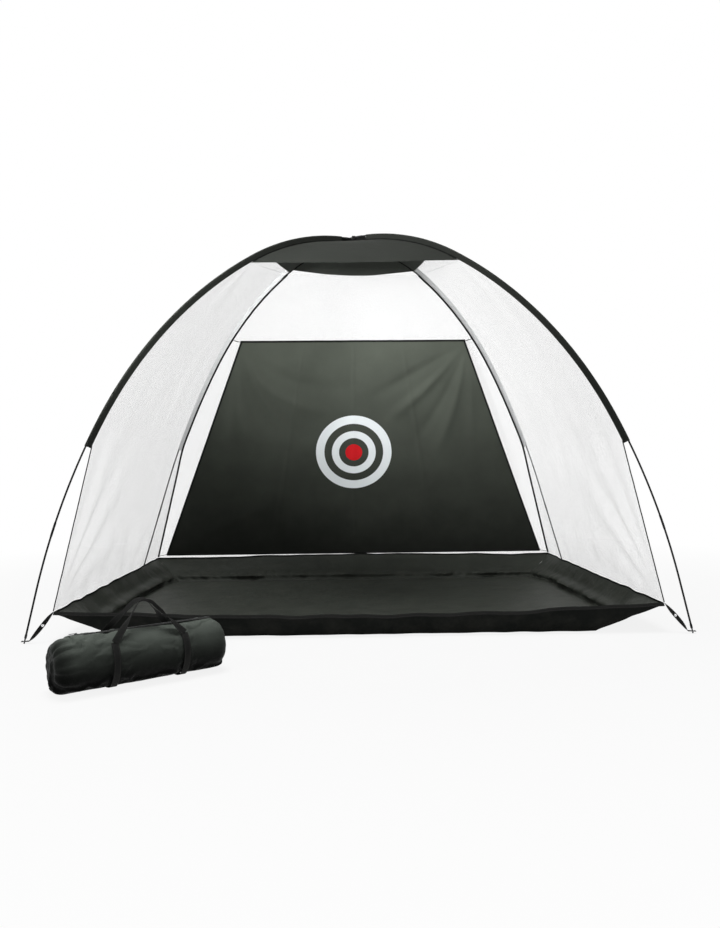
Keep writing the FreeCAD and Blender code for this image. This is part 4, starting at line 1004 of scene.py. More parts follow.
class CrownSewing(bpy.types.Operator):
    """Sew the four crown triangles, their piping and the patch and strap under the crossing"""

    bl_idname = "chipping.crown"
    bl_label = "Crown"

    def execute(self, context):
        settings = context.scene.chipping_net
        panels = {
            "visor": (lambda p: p.x < 0, lambda p: p.x > 0),
            "back": (lambda p: p.x > 0, lambda p: p.x < 0),
            "left": (lambda p: p.y > 0, lambda p: p.y < 0),
            "right": (lambda p: p.y < 0, lambda p: p.y > 0),
        }
        reach = lambda p: p.x**2 + p.y**2
        limits = {
            "visor": lambda u: 1.0,
            "back": lambda u: 0.90 + 0.10 * math.sin(math.pi * u),
            "left": lambda u: 0.95 - 0.13 * u,
            "right": lambda u: 0.73 + 0.17 * u,
        }
        for number, (name, (first, second)) in enumerate(panels.items()):
            node = "crown_" + name
            edges = [edge(node, belongs, reach) for belongs in (first, second)]
            limit = limits[name]
            piece = self.panel("crown_cloth_" + name, edges, lambda u: 0.0, limit, settings, number)
            dress(piece, FINISHES["crown_cloth"], "frame", "black_cloth", node)
            if name == "visor":
                continue
            piece = self.panel("crown_netting_" + name, edges, limit, lambda u: 1.0, settings,
                               number)
            dress(piece, FINISHES["netting"], "frame", "white_net", node)
            if name in ("left", "right"):
                self.piping(name, edges, limit)
        self.patch(settings)
        self.strap()
        self.flanges(settings)
        return {"FINISHED"}

    def panel(self, name, edges, first, last, settings, seed):
        """Part of a crown triangle, between two lines across it."""
        net = "netting" in name

        def place(u, v):
            down = first(u) + (last(u) - first(u)) * v
            if net:
                down += 0.004 * (1 - v)
            spot = edges[0].at(down).lerp(edges[1].at(down), u)
            free = math.sin(math.pi * u)
            taut = 0.9 * wave((u * 2.2, down * 1.4, 0), 0.6, seed)
            taut += 0.4 * wave((u * 5, down * 2, 0), 0.5, seed)
            return spot + UP * free * (0.0035 * taut * down - 0.006 * down * free)

        rows = 4 if net else 26
        thickness = settings.net_thickness if net else settings.cloth_thickness
        return lay_cloth(name, 44, rows, place, thickness)

    def piping(self, name, edges, limit):
        """Pale folded tape along the lower edge of a side triangle, where the net begins."""
        foot = Line([edges[0].at(limit(n / 20)).lerp(edges[1].at(limit(n / 20)), n / 20)
                     for n in range(21)])
        outside = Vector((-1 if name == "left" else 1, 0, 0.35))
        piece = lay_strip("crown_piping_" + name, foot, 0.007, 0.002, outside, 40,
                          start=0.02, end=0.98, offset=(0.0, 0.0008), uneven=0.0006)
        dress(piece, FINISHES["piping"], "frame", "white_cloth")

    def flanges(self, settings):
        """The black tape of the seams, under the bare poles and along the seams of the crown; its
        darker colour also paints the shade along the sleeves' seams.
        """
        for name, leg in leg_lines().items():
            outwards = heading(leg)
            if name.startswith("front"):
                first, last = 0.004, 0.704
            else:
                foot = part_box("crown_back")[0].z
                first, last = 0.10, leg.share_at_height(foot) * leg.length - 0.02

            def place(u, v):
                along = first + (last - first) * v
                share = along / leg.length
                centre, way = leg.at(share), leg.way(share)
                inwards = inward(way, outwards)
                bare = min(max((settings.sleeve_gap + 0.01 - along) / 0.015, 0.0), 1.0)
                near = 0.0215 - 0.0170 * bare
                deep = near + (0.0325 - near) * u + 0.0010 * wave((v * 40, u, 0), 1.0, 4.0)
                side = way.cross(inwards)
                if side.y > 0:
                    side = -side
                rough = 0.0005 * wave((v * 40, u * 2, 3), 1.0)
                return centre + inwards * deep + side * (0.0022 * (1 - bare) + rough)

            piece = lay_cloth("crown_flange_" + name, 8, 120, place, settings.cloth_thickness)
            dress(piece, FINISHES["seam_tape"], "frame", "black_cloth")

    def patch(self, settings):
        low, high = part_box("crown_patch")

        def place(u, v):
            x = low.x + (high.x - low.x) * u
            y = low.y + (high.y - low.y) * v
            middle = math.sin(math.pi * u) * math.sin(math.pi * v)
            level = (low.z + high.z) / 2 - 0.0015 * (1 - middle)
            return Vector((x, y, level + 0.0008 * wave((x, y, 0), 0.02)))

        piece = lay_cloth("crown_patch_cloth", 26, 18, place, settings.cloth_thickness)
        dress(piece, FINISHES["black_cloth"], "frame", "black_cloth", "crown_patch")

    def strap(self):
        """Webbing loop round both poles and the stem that holds the patch up."""
        low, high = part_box("crossing_strap")
        wide, thick = high.x - low.x, 0.0015
        foot = high.z - 0.0246
        bend = 0.004
        centre = (high.z + foot) / 2
        half_y, half_z = (high.y - low.y - thick) / 2, (high.z - foot - thick) / 2

        def place(u, v):
            turn = 2 * math.pi * v
            y = half_y * math.copysign(abs(math.sin(turn)) ** 0.35, math.sin(turn))
            z = half_z * math.copysign(abs(math.cos(turn)) ** 0.35, math.cos(turn))
            return Vector(((u - 0.5) * wide, y, centre + z))

        loop = lay_cloth("strap_loop", 6, 64, place)
        merge(loop)
        thicken(loop, thick)
        drop = Line([(0, 0, low.z + 0.0004), (0, 0, foot - bend / 4)], smooth=False)
        stem = lay_strip("strap_stem", drop, wide, thick, (0, 1, 0), 8, across=6, uneven=0.0003)
        dress(join("crossing_webbing", [loop, stem]), FINISHES["webbing"], "frame",
              "black_webbing", "crossing_strap")


class NetHanging(bpy.types.Operator):
    """Hang the white netting at the sides and the back"""

    bl_idname = "chipping.nets"
    bl_label = "Netting"

    def execute(self, context):
        settings = context.scene.chipping_net
        for side, sign in SIDES:
            piece = self.side_net(side, sign, settings)
            dress(piece, FINISHES["netting"], "frame", "white_net", "net_" + side)
        piece = self.rear_net(settings)
        dress(piece, FINISHES["netting"], "frame", "white_net", "net_rear")
        return {"FINISHED"}

    def side_net(self, side, sign, settings):
        front, rear = seam(side, True), seam(side, False)
        out = Vector((sign, 0, 0.25)).normalized()

        def place(u, v):
            spot = front.at(v).lerp(rear.at(v), u)
            held = math.sin(math.pi * u) ** 0.6 * math.sin(math.pi * min(v * 1.02, 1.0)) ** 0.4
            length = (spot - front.at(v)).length
            folds = fan(length, v * 2.1 + 0.02, 0.55, 15.0, 0.6 + sign)
            folds += 0.35 * fan(length, (1 - v) * 1.9, 0.45, 11.0, 1.4)
            away = settings.billow * held * math.sin(math.pi * u)
            away += settings.fold_height * held * folds
            away += 0.004 * held * wave((spot.x, spot.y * 3, spot.z * 0.8), 0.35, 2.0 + sign)
            return spot + out * away + rim_stray(spot) * max(0.0, 1 - v * 8)

        return lay_cloth("netting_" + side, 56, 72, place, settings.net_thickness)

    def rear_net(self, settings):
        left, right = seam("left", False), seam("right", False)
        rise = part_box("tray_wall_rear")[1].z - left.at(0.0).z + 0.004

        def place(u, v):
            spot = left.at(v).lerp(right.at(v), u)
            free = math.sin(math.pi * u)
            spot.z += rise * (1 - (2 * u - 1) ** 2) * max(0.0, 1 - v * 6) ** 2
            length = (spot - left.at(v)).length
            other = (spot - right.at(v)).length
            folds = fan(length, v * 2.1, 0.5, 13.0) + fan(other, v * 2.1, 0.5, 13.0, 0.8)
            held = free**0.6 * math.sin(math.pi * min(v * 1.02, 1.0)) ** 0.4
            away = settings.billow * held + 0.5 * settings.fold_height * held * folds
            away += 0.004 * held * wave((spot.x * 2, 0, spot.z * 0.8), 0.4, 5.0)
            return spot + Vector((0, 1, 0)) * away + rim_stray(spot) * max(0.0, 1 - v * 8)

        return lay_cloth("netting_rear", 72, 72, place, settings.net_thickness)


class SeamBinding(bpy.types.Operator):
    """Sew the black bindings into the rear seams and down the front edges of the nets"""

    bl_idname = "chipping.bindings"
    bl_label = "Seam bindings"

    # Tape, width, thickness, what it faces on a side, steps along it and a smooth line
    TAPES = (
        ("rear_seam", 0.013, 0.002, lambda sign: Vector((-sign, -1, 0)).normalized(), 150, True),
        ("front_edge", 0.008, 0.0024, lambda sign: Vector((sign, 0, 0)), 70, False),
    )

    def execute(self, context):
        for tape, width, thickness, facing, steps, curved in self.TAPES:
            node = tape + "_bindings"
            strips = []
            for side, sign in SIDES:
                points = [p for p in corners(node) if p.x * sign > 0]
                line = Line(middles(points, lambda p: p.z, 4), smooth=curved)
                strips.append(lay_strip(tape + "_" + side, line, width, thickness,
                                        facing(sign), steps, across=3, uneven=0.0007))
            dress(join(tape + "_tapes", strips), FINISHES["binding"], "frame", "black_webbing",
                  node)
        return {"FINISHED"}


def tray_fold(spot):
    """How the fold between floor and walls strays from a straight line."""
    stray = Vector((wave(spot, 0.16, 1.0), wave(spot, 0.13, 6.0), 0)) * 0.005
    return stray + UP * 0.0035 * (1 + wave(spot, 0.11, 3.0))


def rim_stray(spot):
    """How the rim of the tray strays from its line, except at its corners and its rear lift."""
    corner = Vector((math.copysign(1.37, spot.x), -0.98 if spot.y < 0 else 0.95, spot.z))
    free = min((spot - corner).length / 0.25, 1.0)
    stray = UP * 0.009 * wave(spot, 0.15, 4.0) + Vector((0.008 * wave(spot, 0.14, 7.0), 0, 0))
    if spot.y > 0.9:
        stray = stray * 0.6 - UP * 0.010 * free
    return stray * free


TRAY_SIDES = {
    "front": (lambda p: p.x, Vector((0, -1, 0))),
    "rear": (lambda p: p.x, Vector((0, 1, 0))),
    "left": (lambda p: p.y, Vector((-1, 0, 0))),
    "right": (lambda p: p.y, Vector((1, 0, 0))),
}


def tray_edges(side):
    """Lower and upper line of a tray wall."""
    order = TRAY_SIDES[side][0]
    node = "tray_wall_" + side
    upper = edge(node, lambda p: p.z > 0.05, order, smooth=side in ("front", "rear"))
    return edge(node, lambda p: p.z < 0.05, order, smooth=False), upper


class TraySewing(bpy.types.Operator):
    """Sew the ball tray: floor, four walls and the binding on the rim"""

    bl_idname = "chipping.tray"
    bl_label = "Ball tray"

    def execute(self, context):
        settings = context.scene.chipping_tray
        rims = []
        for side, (_, out) in TRAY_SIDES.items():
            lower, upper = tray_edges(side)
            piece = self.wall(side, lower, upper, out, settings)
            # The front wall takes the darker copy of the tray cloth: painted shade.
            finish = FINISHES["tray_underside" if side == "front" else "tray"]
            dress(piece, finish, "frame", "tray_cloth", "tray_wall_" + side)
            rims.append(self.rim(side, upper, out, settings))
        piece = self.floor(settings)
        dress(piece, FINISHES["tray"], "frame", "tray_cloth", "tray_floor")
        dress(join("tray_rim_tape", rims), FINISHES["binding"], "frame", "black_webbing",
              "tray_rim_binding")
        return {"FINISHED"}

    def wall(self, side, lower, upper, out, settings):
        ripple = settings.ripple
        along = 170 if side in ("front", "rear") else 130

        def place(u, v):
            foot, top = lower.at(v), upper.at(v)
            foot, top = foot + tray_fold(foot), top + rim_stray(top)
            spot = foot.lerp(top, u)
            free = math.sin(math.pi * u)
            sway = wave((spot.x * 1.3, spot.y * 1.3, u * 0.15), 0.17, 7.0)
            sway += 0.5 * wave((spot.x * 2, spot.y * 2, u * 0.3), 0.09, 3.0)
            sway += 0.25 * wave(spot, 0.03, 5.0)
            tucks = wave(foot, 0.028, 11.0) * math.exp(-u / 0.3) * min(u / 0.06, 1.0)
            sway += 1.3 * tucks / max(free, 0.2)
            slack = 0.0 if side == "front" else 0.028 * math.exp(-(((u - 0.26) / 0.12) ** 2))
            slack *= 1 + 0.9 * wave(foot, 0.12, 13.0) + 0.5 * wave(foot, 0.04, 17.0)
            return spot - out * (free * ripple * sway + slack) + UP * free * ripple * 0.4 * sway

        return lay_cloth("tray_wall_cloth_" + side, 20, along, place, settings.thickness)

    def floor(self, settings):
        left, _ = tray_edges("left")
        right, _ = tray_edges("right")
        front = left.at(0.0).y
        rear = left.at(1.0).y

        def side_at(line, y):
            for start, end in zip(line.points, line.points[1:]):
                if y <= end.y + 1e-6:
                    return start.lerp(end, (y - start.y) / (end.y - start.y))
            return line.points[-1]

        def place(u, v):
            y = front + (rear - front) * v
            spot = side_at(left, y).lerp(side_at(right, y), u)
            rim = min(u, 1 - u, v, 1 - v)
            inside = min(rim / 0.06, 1.0)
            spot = spot + tray_fold(spot) * (1 - inside)
            swell = 0.6 + 0.6 * wave((spot.x, spot.y * 1.6, 0), 0.33, 2.0)
            swell += 0.35 * wave((spot.x * 1.2, spot.y * 2.4, 0), 0.12, 8.0)
            edge_point = Vector((spot.x, rear if v > 0.5 else front, 0))
            near = min(v, 1 - v) * (rear - front)
            slant = edge_point + Vector((0.6 * near, 0, 0))
            swell += 2.6 * abs(wave(slant, 0.035, 11.0)) * math.exp(-near / 0.07)
            edge_point = Vector((0, spot.y, 5))
            near = min(u, 1 - u) * 2.4
            swell += 1.4 * abs(wave(edge_point, 0.03, 11.0)) * math.exp(-near / 0.05)
            spot.z = max(spot.z, 0.0012) + settings.ripple * max(swell, 0.0) * inside
            return spot

        return lay_cloth("tray_floor_cloth", 150, 110, place, settings.thickness)

    def rim(self, side, upper, out, settings):
        facing = (out + UP * 0.35).normalized()
        line = Line([upper.at(n / 60) + rim_stray(upper.at(n / 60)) for n in range(61)])
        return lay_strip("rim_" + side, line, settings.binding_width, 0.0036, facing, 120,
                         uneven=0.0012)


class TargetHanging(bpy.types.Operator):
    """Hang the target cloth with its binding"""

    bl_idname = "chipping.target"
    bl_label = "Target"

    def execute(self, context):
        settings = context.scene.chipping_target
        left, right = target_edge("left"), target_edge("right")
        normal = (left.at(1.0) - left.at(0.0)).cross(right.at(0.0) - left.at(0.0)).normalized()
        if normal.y > 0:
            normal = -normal
        piece = self.cloth(left, right, normal, settings)
        dress(piece, FINISHES["target"], "target", "target_cloth", "target_cloth")
        self.binding(left, right, normal, settings)
        return {"FINISHED"}

    # Height, place of both ends, width and sag of each pulled fold
    PULLS = (
        (1.1, ((0.02, 0.97), (0.38, 0.68)), 0.026, 0.03),
        (-0.9, ((0.04, 0.99), (0.48, 0.78)), 0.028, 0.04),
        (0.9, ((0.01, 0.94), (0.22, 0.50)), 0.024, 0.02),
        (-0.9, ((0.03, 0.96), (0.32, 0.56)), 0.024, 0.02),
        (0.6, ((0.01, 0.90), (0.11, 0.40)), 0.022, 0.0),
        (0.9, ((0.98, 0.97), (0.64, 0.66)), 0.018, 0.0),
        (-0.7, ((0.97, 0.98), (0.58, 0.76)), 0.020, -0.01),
        (0.7, ((0.98, 0.93), (0.78, 0.50)), 0.016, 0.0),
        (-0.5, ((0.98, 0.95), (0.72, 0.56)), 0.016, 0.0),
        (0.4, ((0.99, 0.90), (0.88, 0.44)), 0.016, 0.0),
        (0.3, ((0.03, 0.05), (0.28, 0.28)), 0.03, 0.0),
        (0.3, ((0.97, 0.05), (0.74, 0.28)), 0.03, 0.0),
    )

    def cloth(self, left, right, normal, settings):
        tall = settings.fold_height

        def place(u, v):
            spot = left.at(v).lerp(right.at(v), u)
            held = math.sin(math.pi * u) ** 0.5 * math.sin(math.pi * v) ** 0.5
            folds = sum(height * crease((u, v), ends, width, sag)
                        for height, ends, width, sag in self.PULLS)
            for line in (0.28, 0.5, 0.72):
                folds += 0.12 * math.exp(-(((u - line) / 0.006) ** 2))
            soft = 0.5 * wave((u * 1.6, v * 1.1, 0), 0.5, 4.0)
            return spot + normal * held * tall * (folds + soft)

        return lay_cloth("target_sheet", 150, 130, place, settings.thickness)

    def binding(self, left, right, normal, settings):
        wide = settings.binding_width
        points = [left.at(0.0), right.at(0.0), right.at(1.0), left.at(1.0)]
        middle = sum(points, Vector()) / 4
        strips = []
        for number, start in enumerate(points):
            end = points[(number + 1) % 4]
            way = (end - start).normalized()
            out = way.cross(normal).normalized()
            if out.dot(start - middle) < 0:
                out = -out
            line = Line([start - way * wide * 0.8, end + way * wide * 0.8], smooth=False)
            line = Line([point + out * wide * 0.42 for point in line.points], smooth=False)
            strips.append(lay_strip("target_edge_%d" % number, line, wide, 0.0036, normal, 60,
                                    across=3, uneven=0.0007))
        dress(join("target_binding_tape", strips), FINISHES["binding"], "target",
              "black_webbing", "target_binding")


def lay_cord(name, points, diameter):
    """Round cord on one smooth line."""
    curve = bpy.data.curves.new(name, "CURVE")
    curve.dimensions = "3D"
    curve.bevel_depth = diameter / 2
    curve.bevel_resolution = 4
    curve.use_fill_caps = True
    spline = curve.splines.new("NURBS")
    spline.points.add(len(points) - 1)
    for place, point in zip(spline.points, points):
        place.co = (*point, 1.0)
    spline.order_u = 3
    spline.use_endpoint_u = True
    spline.resolution_u = 8
    piece = bpy.data.objects.new(name, curve)
    bpy.context.scene.collection.objects.link(piece)
    return piece


class TargetTies(bpy.types.Operator):
    """Tie the corners of the target with elastic"""

    bl_idname = "chipping.ties"
    bl_label = "Target ties"

    def execute(self, context):
        settings = context.scene.chipping_target
        for node, place in (("target_upper_ties", "upper"), ("target_lower_ties", "lower")):
            for side, sign in SIDES:
                points = [p for p in corners(node) if p.x * sign > 0]
                inner = min(abs(p.x) for p in points)
                outer = max(abs(p.x) for p in points)
                near = [p for p in points if abs(p.x) < inner + 0.004]
                far = [p for p in points if abs(p.x) > outer - 0.004]
                start = sum(near, Vector()) / len(near)
                end = sum(far, Vector()) / len(far)
                self.tie("target_tie_%s_%s" % (place, side), start, end, node, settings)
        return {"FINISHED"}

    def tie(self, name, start, end, node, settings):
        upper = "upper" in name
        diameter = settings.upper_tie_diameter if upper else settings.tie_diameter
        points = [start.lerp(end, share) for share in (0.0, 0.3, 0.7, 1.0)]
        if not upper:
            points[1].z -= 0.0008
            points[2].z -= 0.0008
        piece = lay_cord(name, points, diameter)
        if not upper:
            take(piece)
            bpy.ops.object.convert(target="MESH")
            piece = bpy.context.active_object
        dress(piece, FINISHES["elastic"], "target" if upper else None, "elastic", node)
        if not upper:
            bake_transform(piece)


class CornerStraps(bpy.types.Operator):
    """Fix the webbing straps from the tray corners to the pole tips"""

    bl_idname = "chipping.straps"
    bl_label = "Corner straps"

    def execute(self, context):
        for corner in LEGS:
            node = "corner_strap_" + corner
            piece = copy_node("corner_webbing_" + corner, node)
            self.shape(piece, node)
            dress(piece, FINISHES["webbing"], "frame", "black_webbing", node)
        return {"FINISHED"}

    def shape(self, piece, node):
        """The webbing turns on edge between the tray and the place where it lies down."""
        take(piece)
        bpy.ops.object.mode_set(mode="EDIT")
        bpy.ops.mesh.select_all(action="SELECT")
        bpy.ops.mesh.subdivide(number_cuts=6)
        bpy.ops.object.mode_set(mode="OBJECT")
        low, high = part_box(node)
        points = [vertex.co.copy() for vertex in piece.data.vertices]
        top = [point for point in points if point.z > high.z - 0.004]
        flat = [point for point in points if point.z < low.z + 0.004]
        near = min(abs(point.x) for point in flat)
        flat = [point for point in flat if abs(point.x) < near + 0.004]
        inner, bend = sum(top, Vector()) / len(top), sum(flat, Vector()) / len(flat)
        long = (bend - inner).length
        run = (bend - inner).normalized()
        level = UP.cross(run).normalized()
        layer = piece.data.uv_layers.active or piece.data.uv_layers.new(name="Cloth")
        for loop in piece.data.loops:
            spot = piece.data.vertices[loop.vertex_index].co - inner
            layer.data[loop.index].uv = (spot.dot(level), spot.dot(run))
        for vertex in piece.data.vertices:
            share = (vertex.co - inner).dot(run) / long
            turn = math.radians(64) * math.sin(math.pi * min(max(share, 0.0), 1.0)) ** 0.8
            axis = inner + run * share * long
            vertex.co = axis + Matrix.Rotation(turn, 3, run) @ (vertex.co - axis)
        rounding = piece.modifiers.new("Soft edge", "BEVEL")
        rounding.width = 0.0003
        rounding.segments = 1
        rounding.limit_method = "ANGLE"
        rounding.angle_limit = math.radians(50)
        finish_modifiers(piece)
        smooth(piece, 40)


# Carry bag


BAG_TURN = math.radians(36.3)
BAG_PLACE = Vector((-0.815, -1.635, 0.0))


def bag_point(x, y, z):
    """Place in the row of a place in the bag's own frame, x along the bag."""
    turn = Matrix.Rotation(BAG_TURN, 3, "Z")
    return turn @ Vector((x, y, z)) + BAG_PLACE


def bag_frame(point):
    turn = Matrix.Rotation(-BAG_TURN, 3, "Z")
    return turn @ (Vector(point) - BAG_PLACE)


def y_turn(turn):
    """Steady number that is the same at both ends of a full turn."""
    return math.sin(turn) + 0.6 * math.cos(2 * turn)


def settle(height, floor, soft=0.02):
    """Height held above the floor with a soft corner."""
    if height > floor + soft:
        return height
    return floor + soft * math.exp((height - floor - soft) / soft)


class BagFilling(bpy.types.Operator):
    """Make the filled carry bag"""

    bl_idname = "chipping.bag"
    bl_label = "Bag"

    def execute(self, context):
        settings = context.scene.chipping_bag
        piece = self.shell(settings)
        self.fill(piece, settings)
        merge(piece)
        smooth(piece, 80)
        dress(piece, FINISHES["bag"], "bag", "bag_cloth", "bag_body", "bag_end_left",
              "bag_end_right")
        return {"FINISHED"}

    def outline(self, v, settings):
        """Place along the bag and share of its radius, from the middle of one end to the other."""
        half, bend, radius = settings.length / 2, settings.end_round, settings.radius
        flat = radius - bend
        arc = bend * math.pi / 2
        side = 2 * (half - bend)
        total = 2 * flat + 2 * arc + side
        place = v * total
        if place < flat:
            return -half, place / radius
        place -= flat
        if place < arc:
            turn = place / bend
            return -half + bend * (1 - math.cos(turn)), (flat + bend * math.sin(turn)) / radius
        place -= arc
        if place < side:
            return -half + bend + place, 1.0
        place -= side
        if place < arc:
            turn = place / bend
            return half - bend + bend * math.sin(turn), (flat + bend * math.cos(turn)) / radius
        place -= arc
        return half, max(flat - place, 0.0) / radius

    def shell(self, settings):
        radius = settings.radius

        def place(u, v):
            x, share = self.outline(v, settings)
            turn = 2 * math.pi * u
            from_end = settings.length / 2 - abs(x)
            gather = math.exp(-from_end / 0.07)
            left = 1.0 if x < 0 else 0.15
            pinch = sum(math.exp(-(((x - at) / 0.02) ** 2))
                        for at in (-settings.band_place, settings.band_place))
            grow = 0.0015 * (1 - pinch) - settings.pinch * pinch * 0.6
            pleat = math.sin(11 * turn + 4 * wave((x * 2, y_turn(turn), 0), 0.7, 2.0))
            pleat = abs(pleat) ** 0.6 * math.copysign(1, pleat)
            grow += 0.008 * left * gather * share * (pleat - 0.3)
            pull = math.exp(-(((abs(x) - settings.band_place) / 0.06) ** 2)) * (1 - pinch)
            grow += 0.0028 * pull * math.sin(13 * turn + (1 if x > 0 else 4))
            y, z = math.sin(turn), math.cos(turn)
            around = Vector((x * 2.0, y * 0.22, z * 0.22))
            grow += (0.0035 * share * wave(around, 0.17, 3.0)
                     + 0.0014 * share * wave(around, 0.06, 6.0))
            reach = radius * share + grow * min(share * 2, 1.0)
            end = 1 if x > 0 else -1
            hollow = 0.012 * (1 - share) * math.cos(math.pi * share / 2) * gather * end
            y, z = y * reach, z * reach
            z = z * 0.985 if z > 0 else z
            return bag_point(x - 0.010 - hollow * 0.4, y, settle(0.0995 + z, 0.0035))

        return lay_cloth("bag_cloth_shell", 120, 170, place)

    def fill(self, piece, settings):
        """Blows the bag up a little with slack cloth, held by its two bands."""
        merge(piece)
        rest = [v.co.copy() for v in piece.data.vertices]
        held = piece.vertex_groups.new(name="Held")
        for vertex in piece.data.vertices:
            spot = bag_frame(vertex.co)
            band = abs(abs(spot.x) - settings.band_place) < settings.band_width * 0.55
            on_top = abs(spot.y) < 0.016 and spot.z > 0.12
            zip_line = on_top and abs(spot.x) < settings.zip_length / 2
            if band or zip_line or spot.z < 0.02:
                held.add([vertex.index], 1.0, "REPLACE")
        cloth = piece.modifiers.new("Filling", "CLOTH")
        cloth.settings.quality = 5
        cloth.settings.mass = 0.2
        cloth.settings.use_pressure = True
        cloth.settings.uniform_pressure_force = 3.0
        cloth.settings.effector_weights.gravity = 0.0
        cloth.settings.vertex_group_mass = "Held"
        cloth.settings.shrink_min = -0.05
        cloth.settings.bending_stiffness = 0.2
        cloth.settings.tension_stiffness = 20
        cloth.settings.compression_stiffness = 20
        scene = bpy.context.scene
        take(piece)
        for number in range(1, 21):
            scene.frame_set(number)
        finish_modifiers(piece)
        scene.frame_set(1)
        most = 0.007
        for vertex, start in zip(piece.data.vertices, rest):
            move = vertex.co - start
            if move.length > most:
                move = move.normalized() * most
            vertex.co = start + move
            vertex.co.z = max(vertex.co.z, 0.003)
        piece.vertex_groups.clear()


class BagStraps(bpy.types.Operator):
    """Put the webbing bands and the two carry handles on the bag"""

    bl_idname = "chipping.bag_straps"
    bl_label = "Bag bands and handles"

    def execute(self, context):
        settings = context.scene.chipping_bag
        bands = [self.band(sign * settings.band_place, settings) for sign in (-1, 1)]
        dress(join("bag_band_webbing", bands), FINISHES["webbing"], "bag", "black_webbing",
              "bag_bands")
        for name in ("front", "rear"):
            piece = self.handle(name, settings)
            dress(piece, FINISHES["webbing"], "handle_" + name, "black_webbing",
                  "bag_handle_" + name)
        return {"FINISHED"}

    def band(self, x, settings):
        open_half = math.radians(45)
        radius = settings.radius + 0.0024

        def place(u, v):
            turn = open_half + (2 * math.pi - 2 * open_half) * v
            along = x + (u - 0.5) * settings.band_width + 0.0008 * wave((turn, u, x * 9), 0.6, 2.0)
            y, z = radius * math.sin(turn), radius * math.cos(turn)
            return bag_point(along, y, settle(0.098 + z, 0.0014, 0.014))

        return lay_cloth("band", 6, 96, place, 0.0013)

    def handle(self, name, settings):
        """Flat arch of webbing that leans over the bag from the ends of the two bands."""
        sign = -1 if name == "front" else 1
        lean = math.radians(24.5)
        up = Vector((0, -sign * math.sin(lean), math.cos(lean)))
        foot = Vector((0, sign * 0.07357, 0.16943))
        reach, round_off, tall = settings.band_place, 0.040, 0.138
        centre = tall - round_off
        apart = math.hypot(reach, centre)
        touch = math.atan2(-centre, reach) + math.acos(round_off / apart)
        outline = [(reach, 0.0)]
        for number in range(13):
            turn = touch + (math.pi - 2 * touch) * number / 12
            outline.append((round_off * math.cos(turn), centre + round_off * math.sin(turn)))
        outline.append((-reach, 0.0))
        points = []
        for (x, high), (next_x, next_high) in zip(outline, outline[1:]):
            steps = 8 if high == 0.0 or next_high == 0.0 else 1
            for step in range(steps):
                share = step / steps
                level = Vector((x + (next_x - x) * share, 0, 0))
                points.append(level + up * (high + (next_high - high) * share))
        points.append(Vector((-reach, 0, 0)))
        line = Line([bag_point(*(foot + point)) for point in points])
        out = bag_point(*up.cross(Vector((1, 0, 0)))) - bag_point(0, 0, 0)

        def facing(share):
            """The webbing leaves the bands flat and turns on edge at the top of the arch."""
            level = line.way(share).cross(out)
            turn = math.pi / 2 * min(math.sin(math.pi * share) * 1.25, 1.0) ** 1.5
            return out * math.cos(turn) + level * math.sin(turn)

        return lay_strip("bag_handle_webbing_" + name, line, settings.band_width, 0.0016,
                         facing, 140, across=6, uneven=0.0009)


class ZipFitting(bpy.types.Operator):
    """Fit the zip tape and its teeth"""

    bl_idname = "chipping.zip"
    bl_label = "Zip"

    def execute(self, context):
        settings = context.scene.chipping_bag
        half = settings.zip_length / 2
        width, curve, crest = 0.028, 0.0985, 0.1989  # the tape's width, bend and height

        def place(u, v):
            x = -half + 2 * half * v
            y = (u - 0.5) * width
            arch = curve * math.cos(y / curve) - curve
            return bag_point(x, y, crest + arch + 0.0003 * wave((x, y, 0), 0.02, 3.0))

        tape = lay_cloth("zip_tape_cloth", 14, 130, place, 0.001)
        dress(tape, FINISHES["zip_tape"], "bag", "black_webbing", "zip_tape")
        self.teeth(half)
        return {"FINISHED"}

    def teeth(self, half):
        """One moulded tooth, copied down both sides of the zip."""
        low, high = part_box("zip_teeth")
        clear()
        bpy.ops.mesh.primitive_cube_add(size=1.0)
        tooth = bpy.context.active_object
        tooth.scale = (0.00085, 0.0026, 0.0013)  # along, across and up
        bpy.ops.object.transform_apply(scale=True)
        rounding = tooth.modifiers.new("Rounding", "BEVEL")
        rounding.width = 0.0002
        rounding.segments = 1
        finish_modifiers(tooth)
        twins = []
        pitch, inset, stagger = 0.002, 0.006, 0.0006
        count = int(2 * (half - inset) / pitch)
        for number in range(count):
            twin = tooth.copy()
            twin.data = tooth.data.copy()
            bpy.context.scene.collection.objects.link(twin)
            x = -half + inset + number * pitch
            side = stagger if number % 2 else -stagger
            place = Matrix.Translation(bag_point(x, side, (low.z + high.z) / 2))
            twin.data.transform(place @ Matrix.Rotation(BAG_TURN, 4, "Z"))
            twins.append(twin)
        bpy.data.objects.remove(tooth)
        row = join("zip_teeth_row", twins)
        smooth(row, 40)
        dress(row, FINISHES["dark_steel"], "bag", "zip_metal", "zip_teeth")


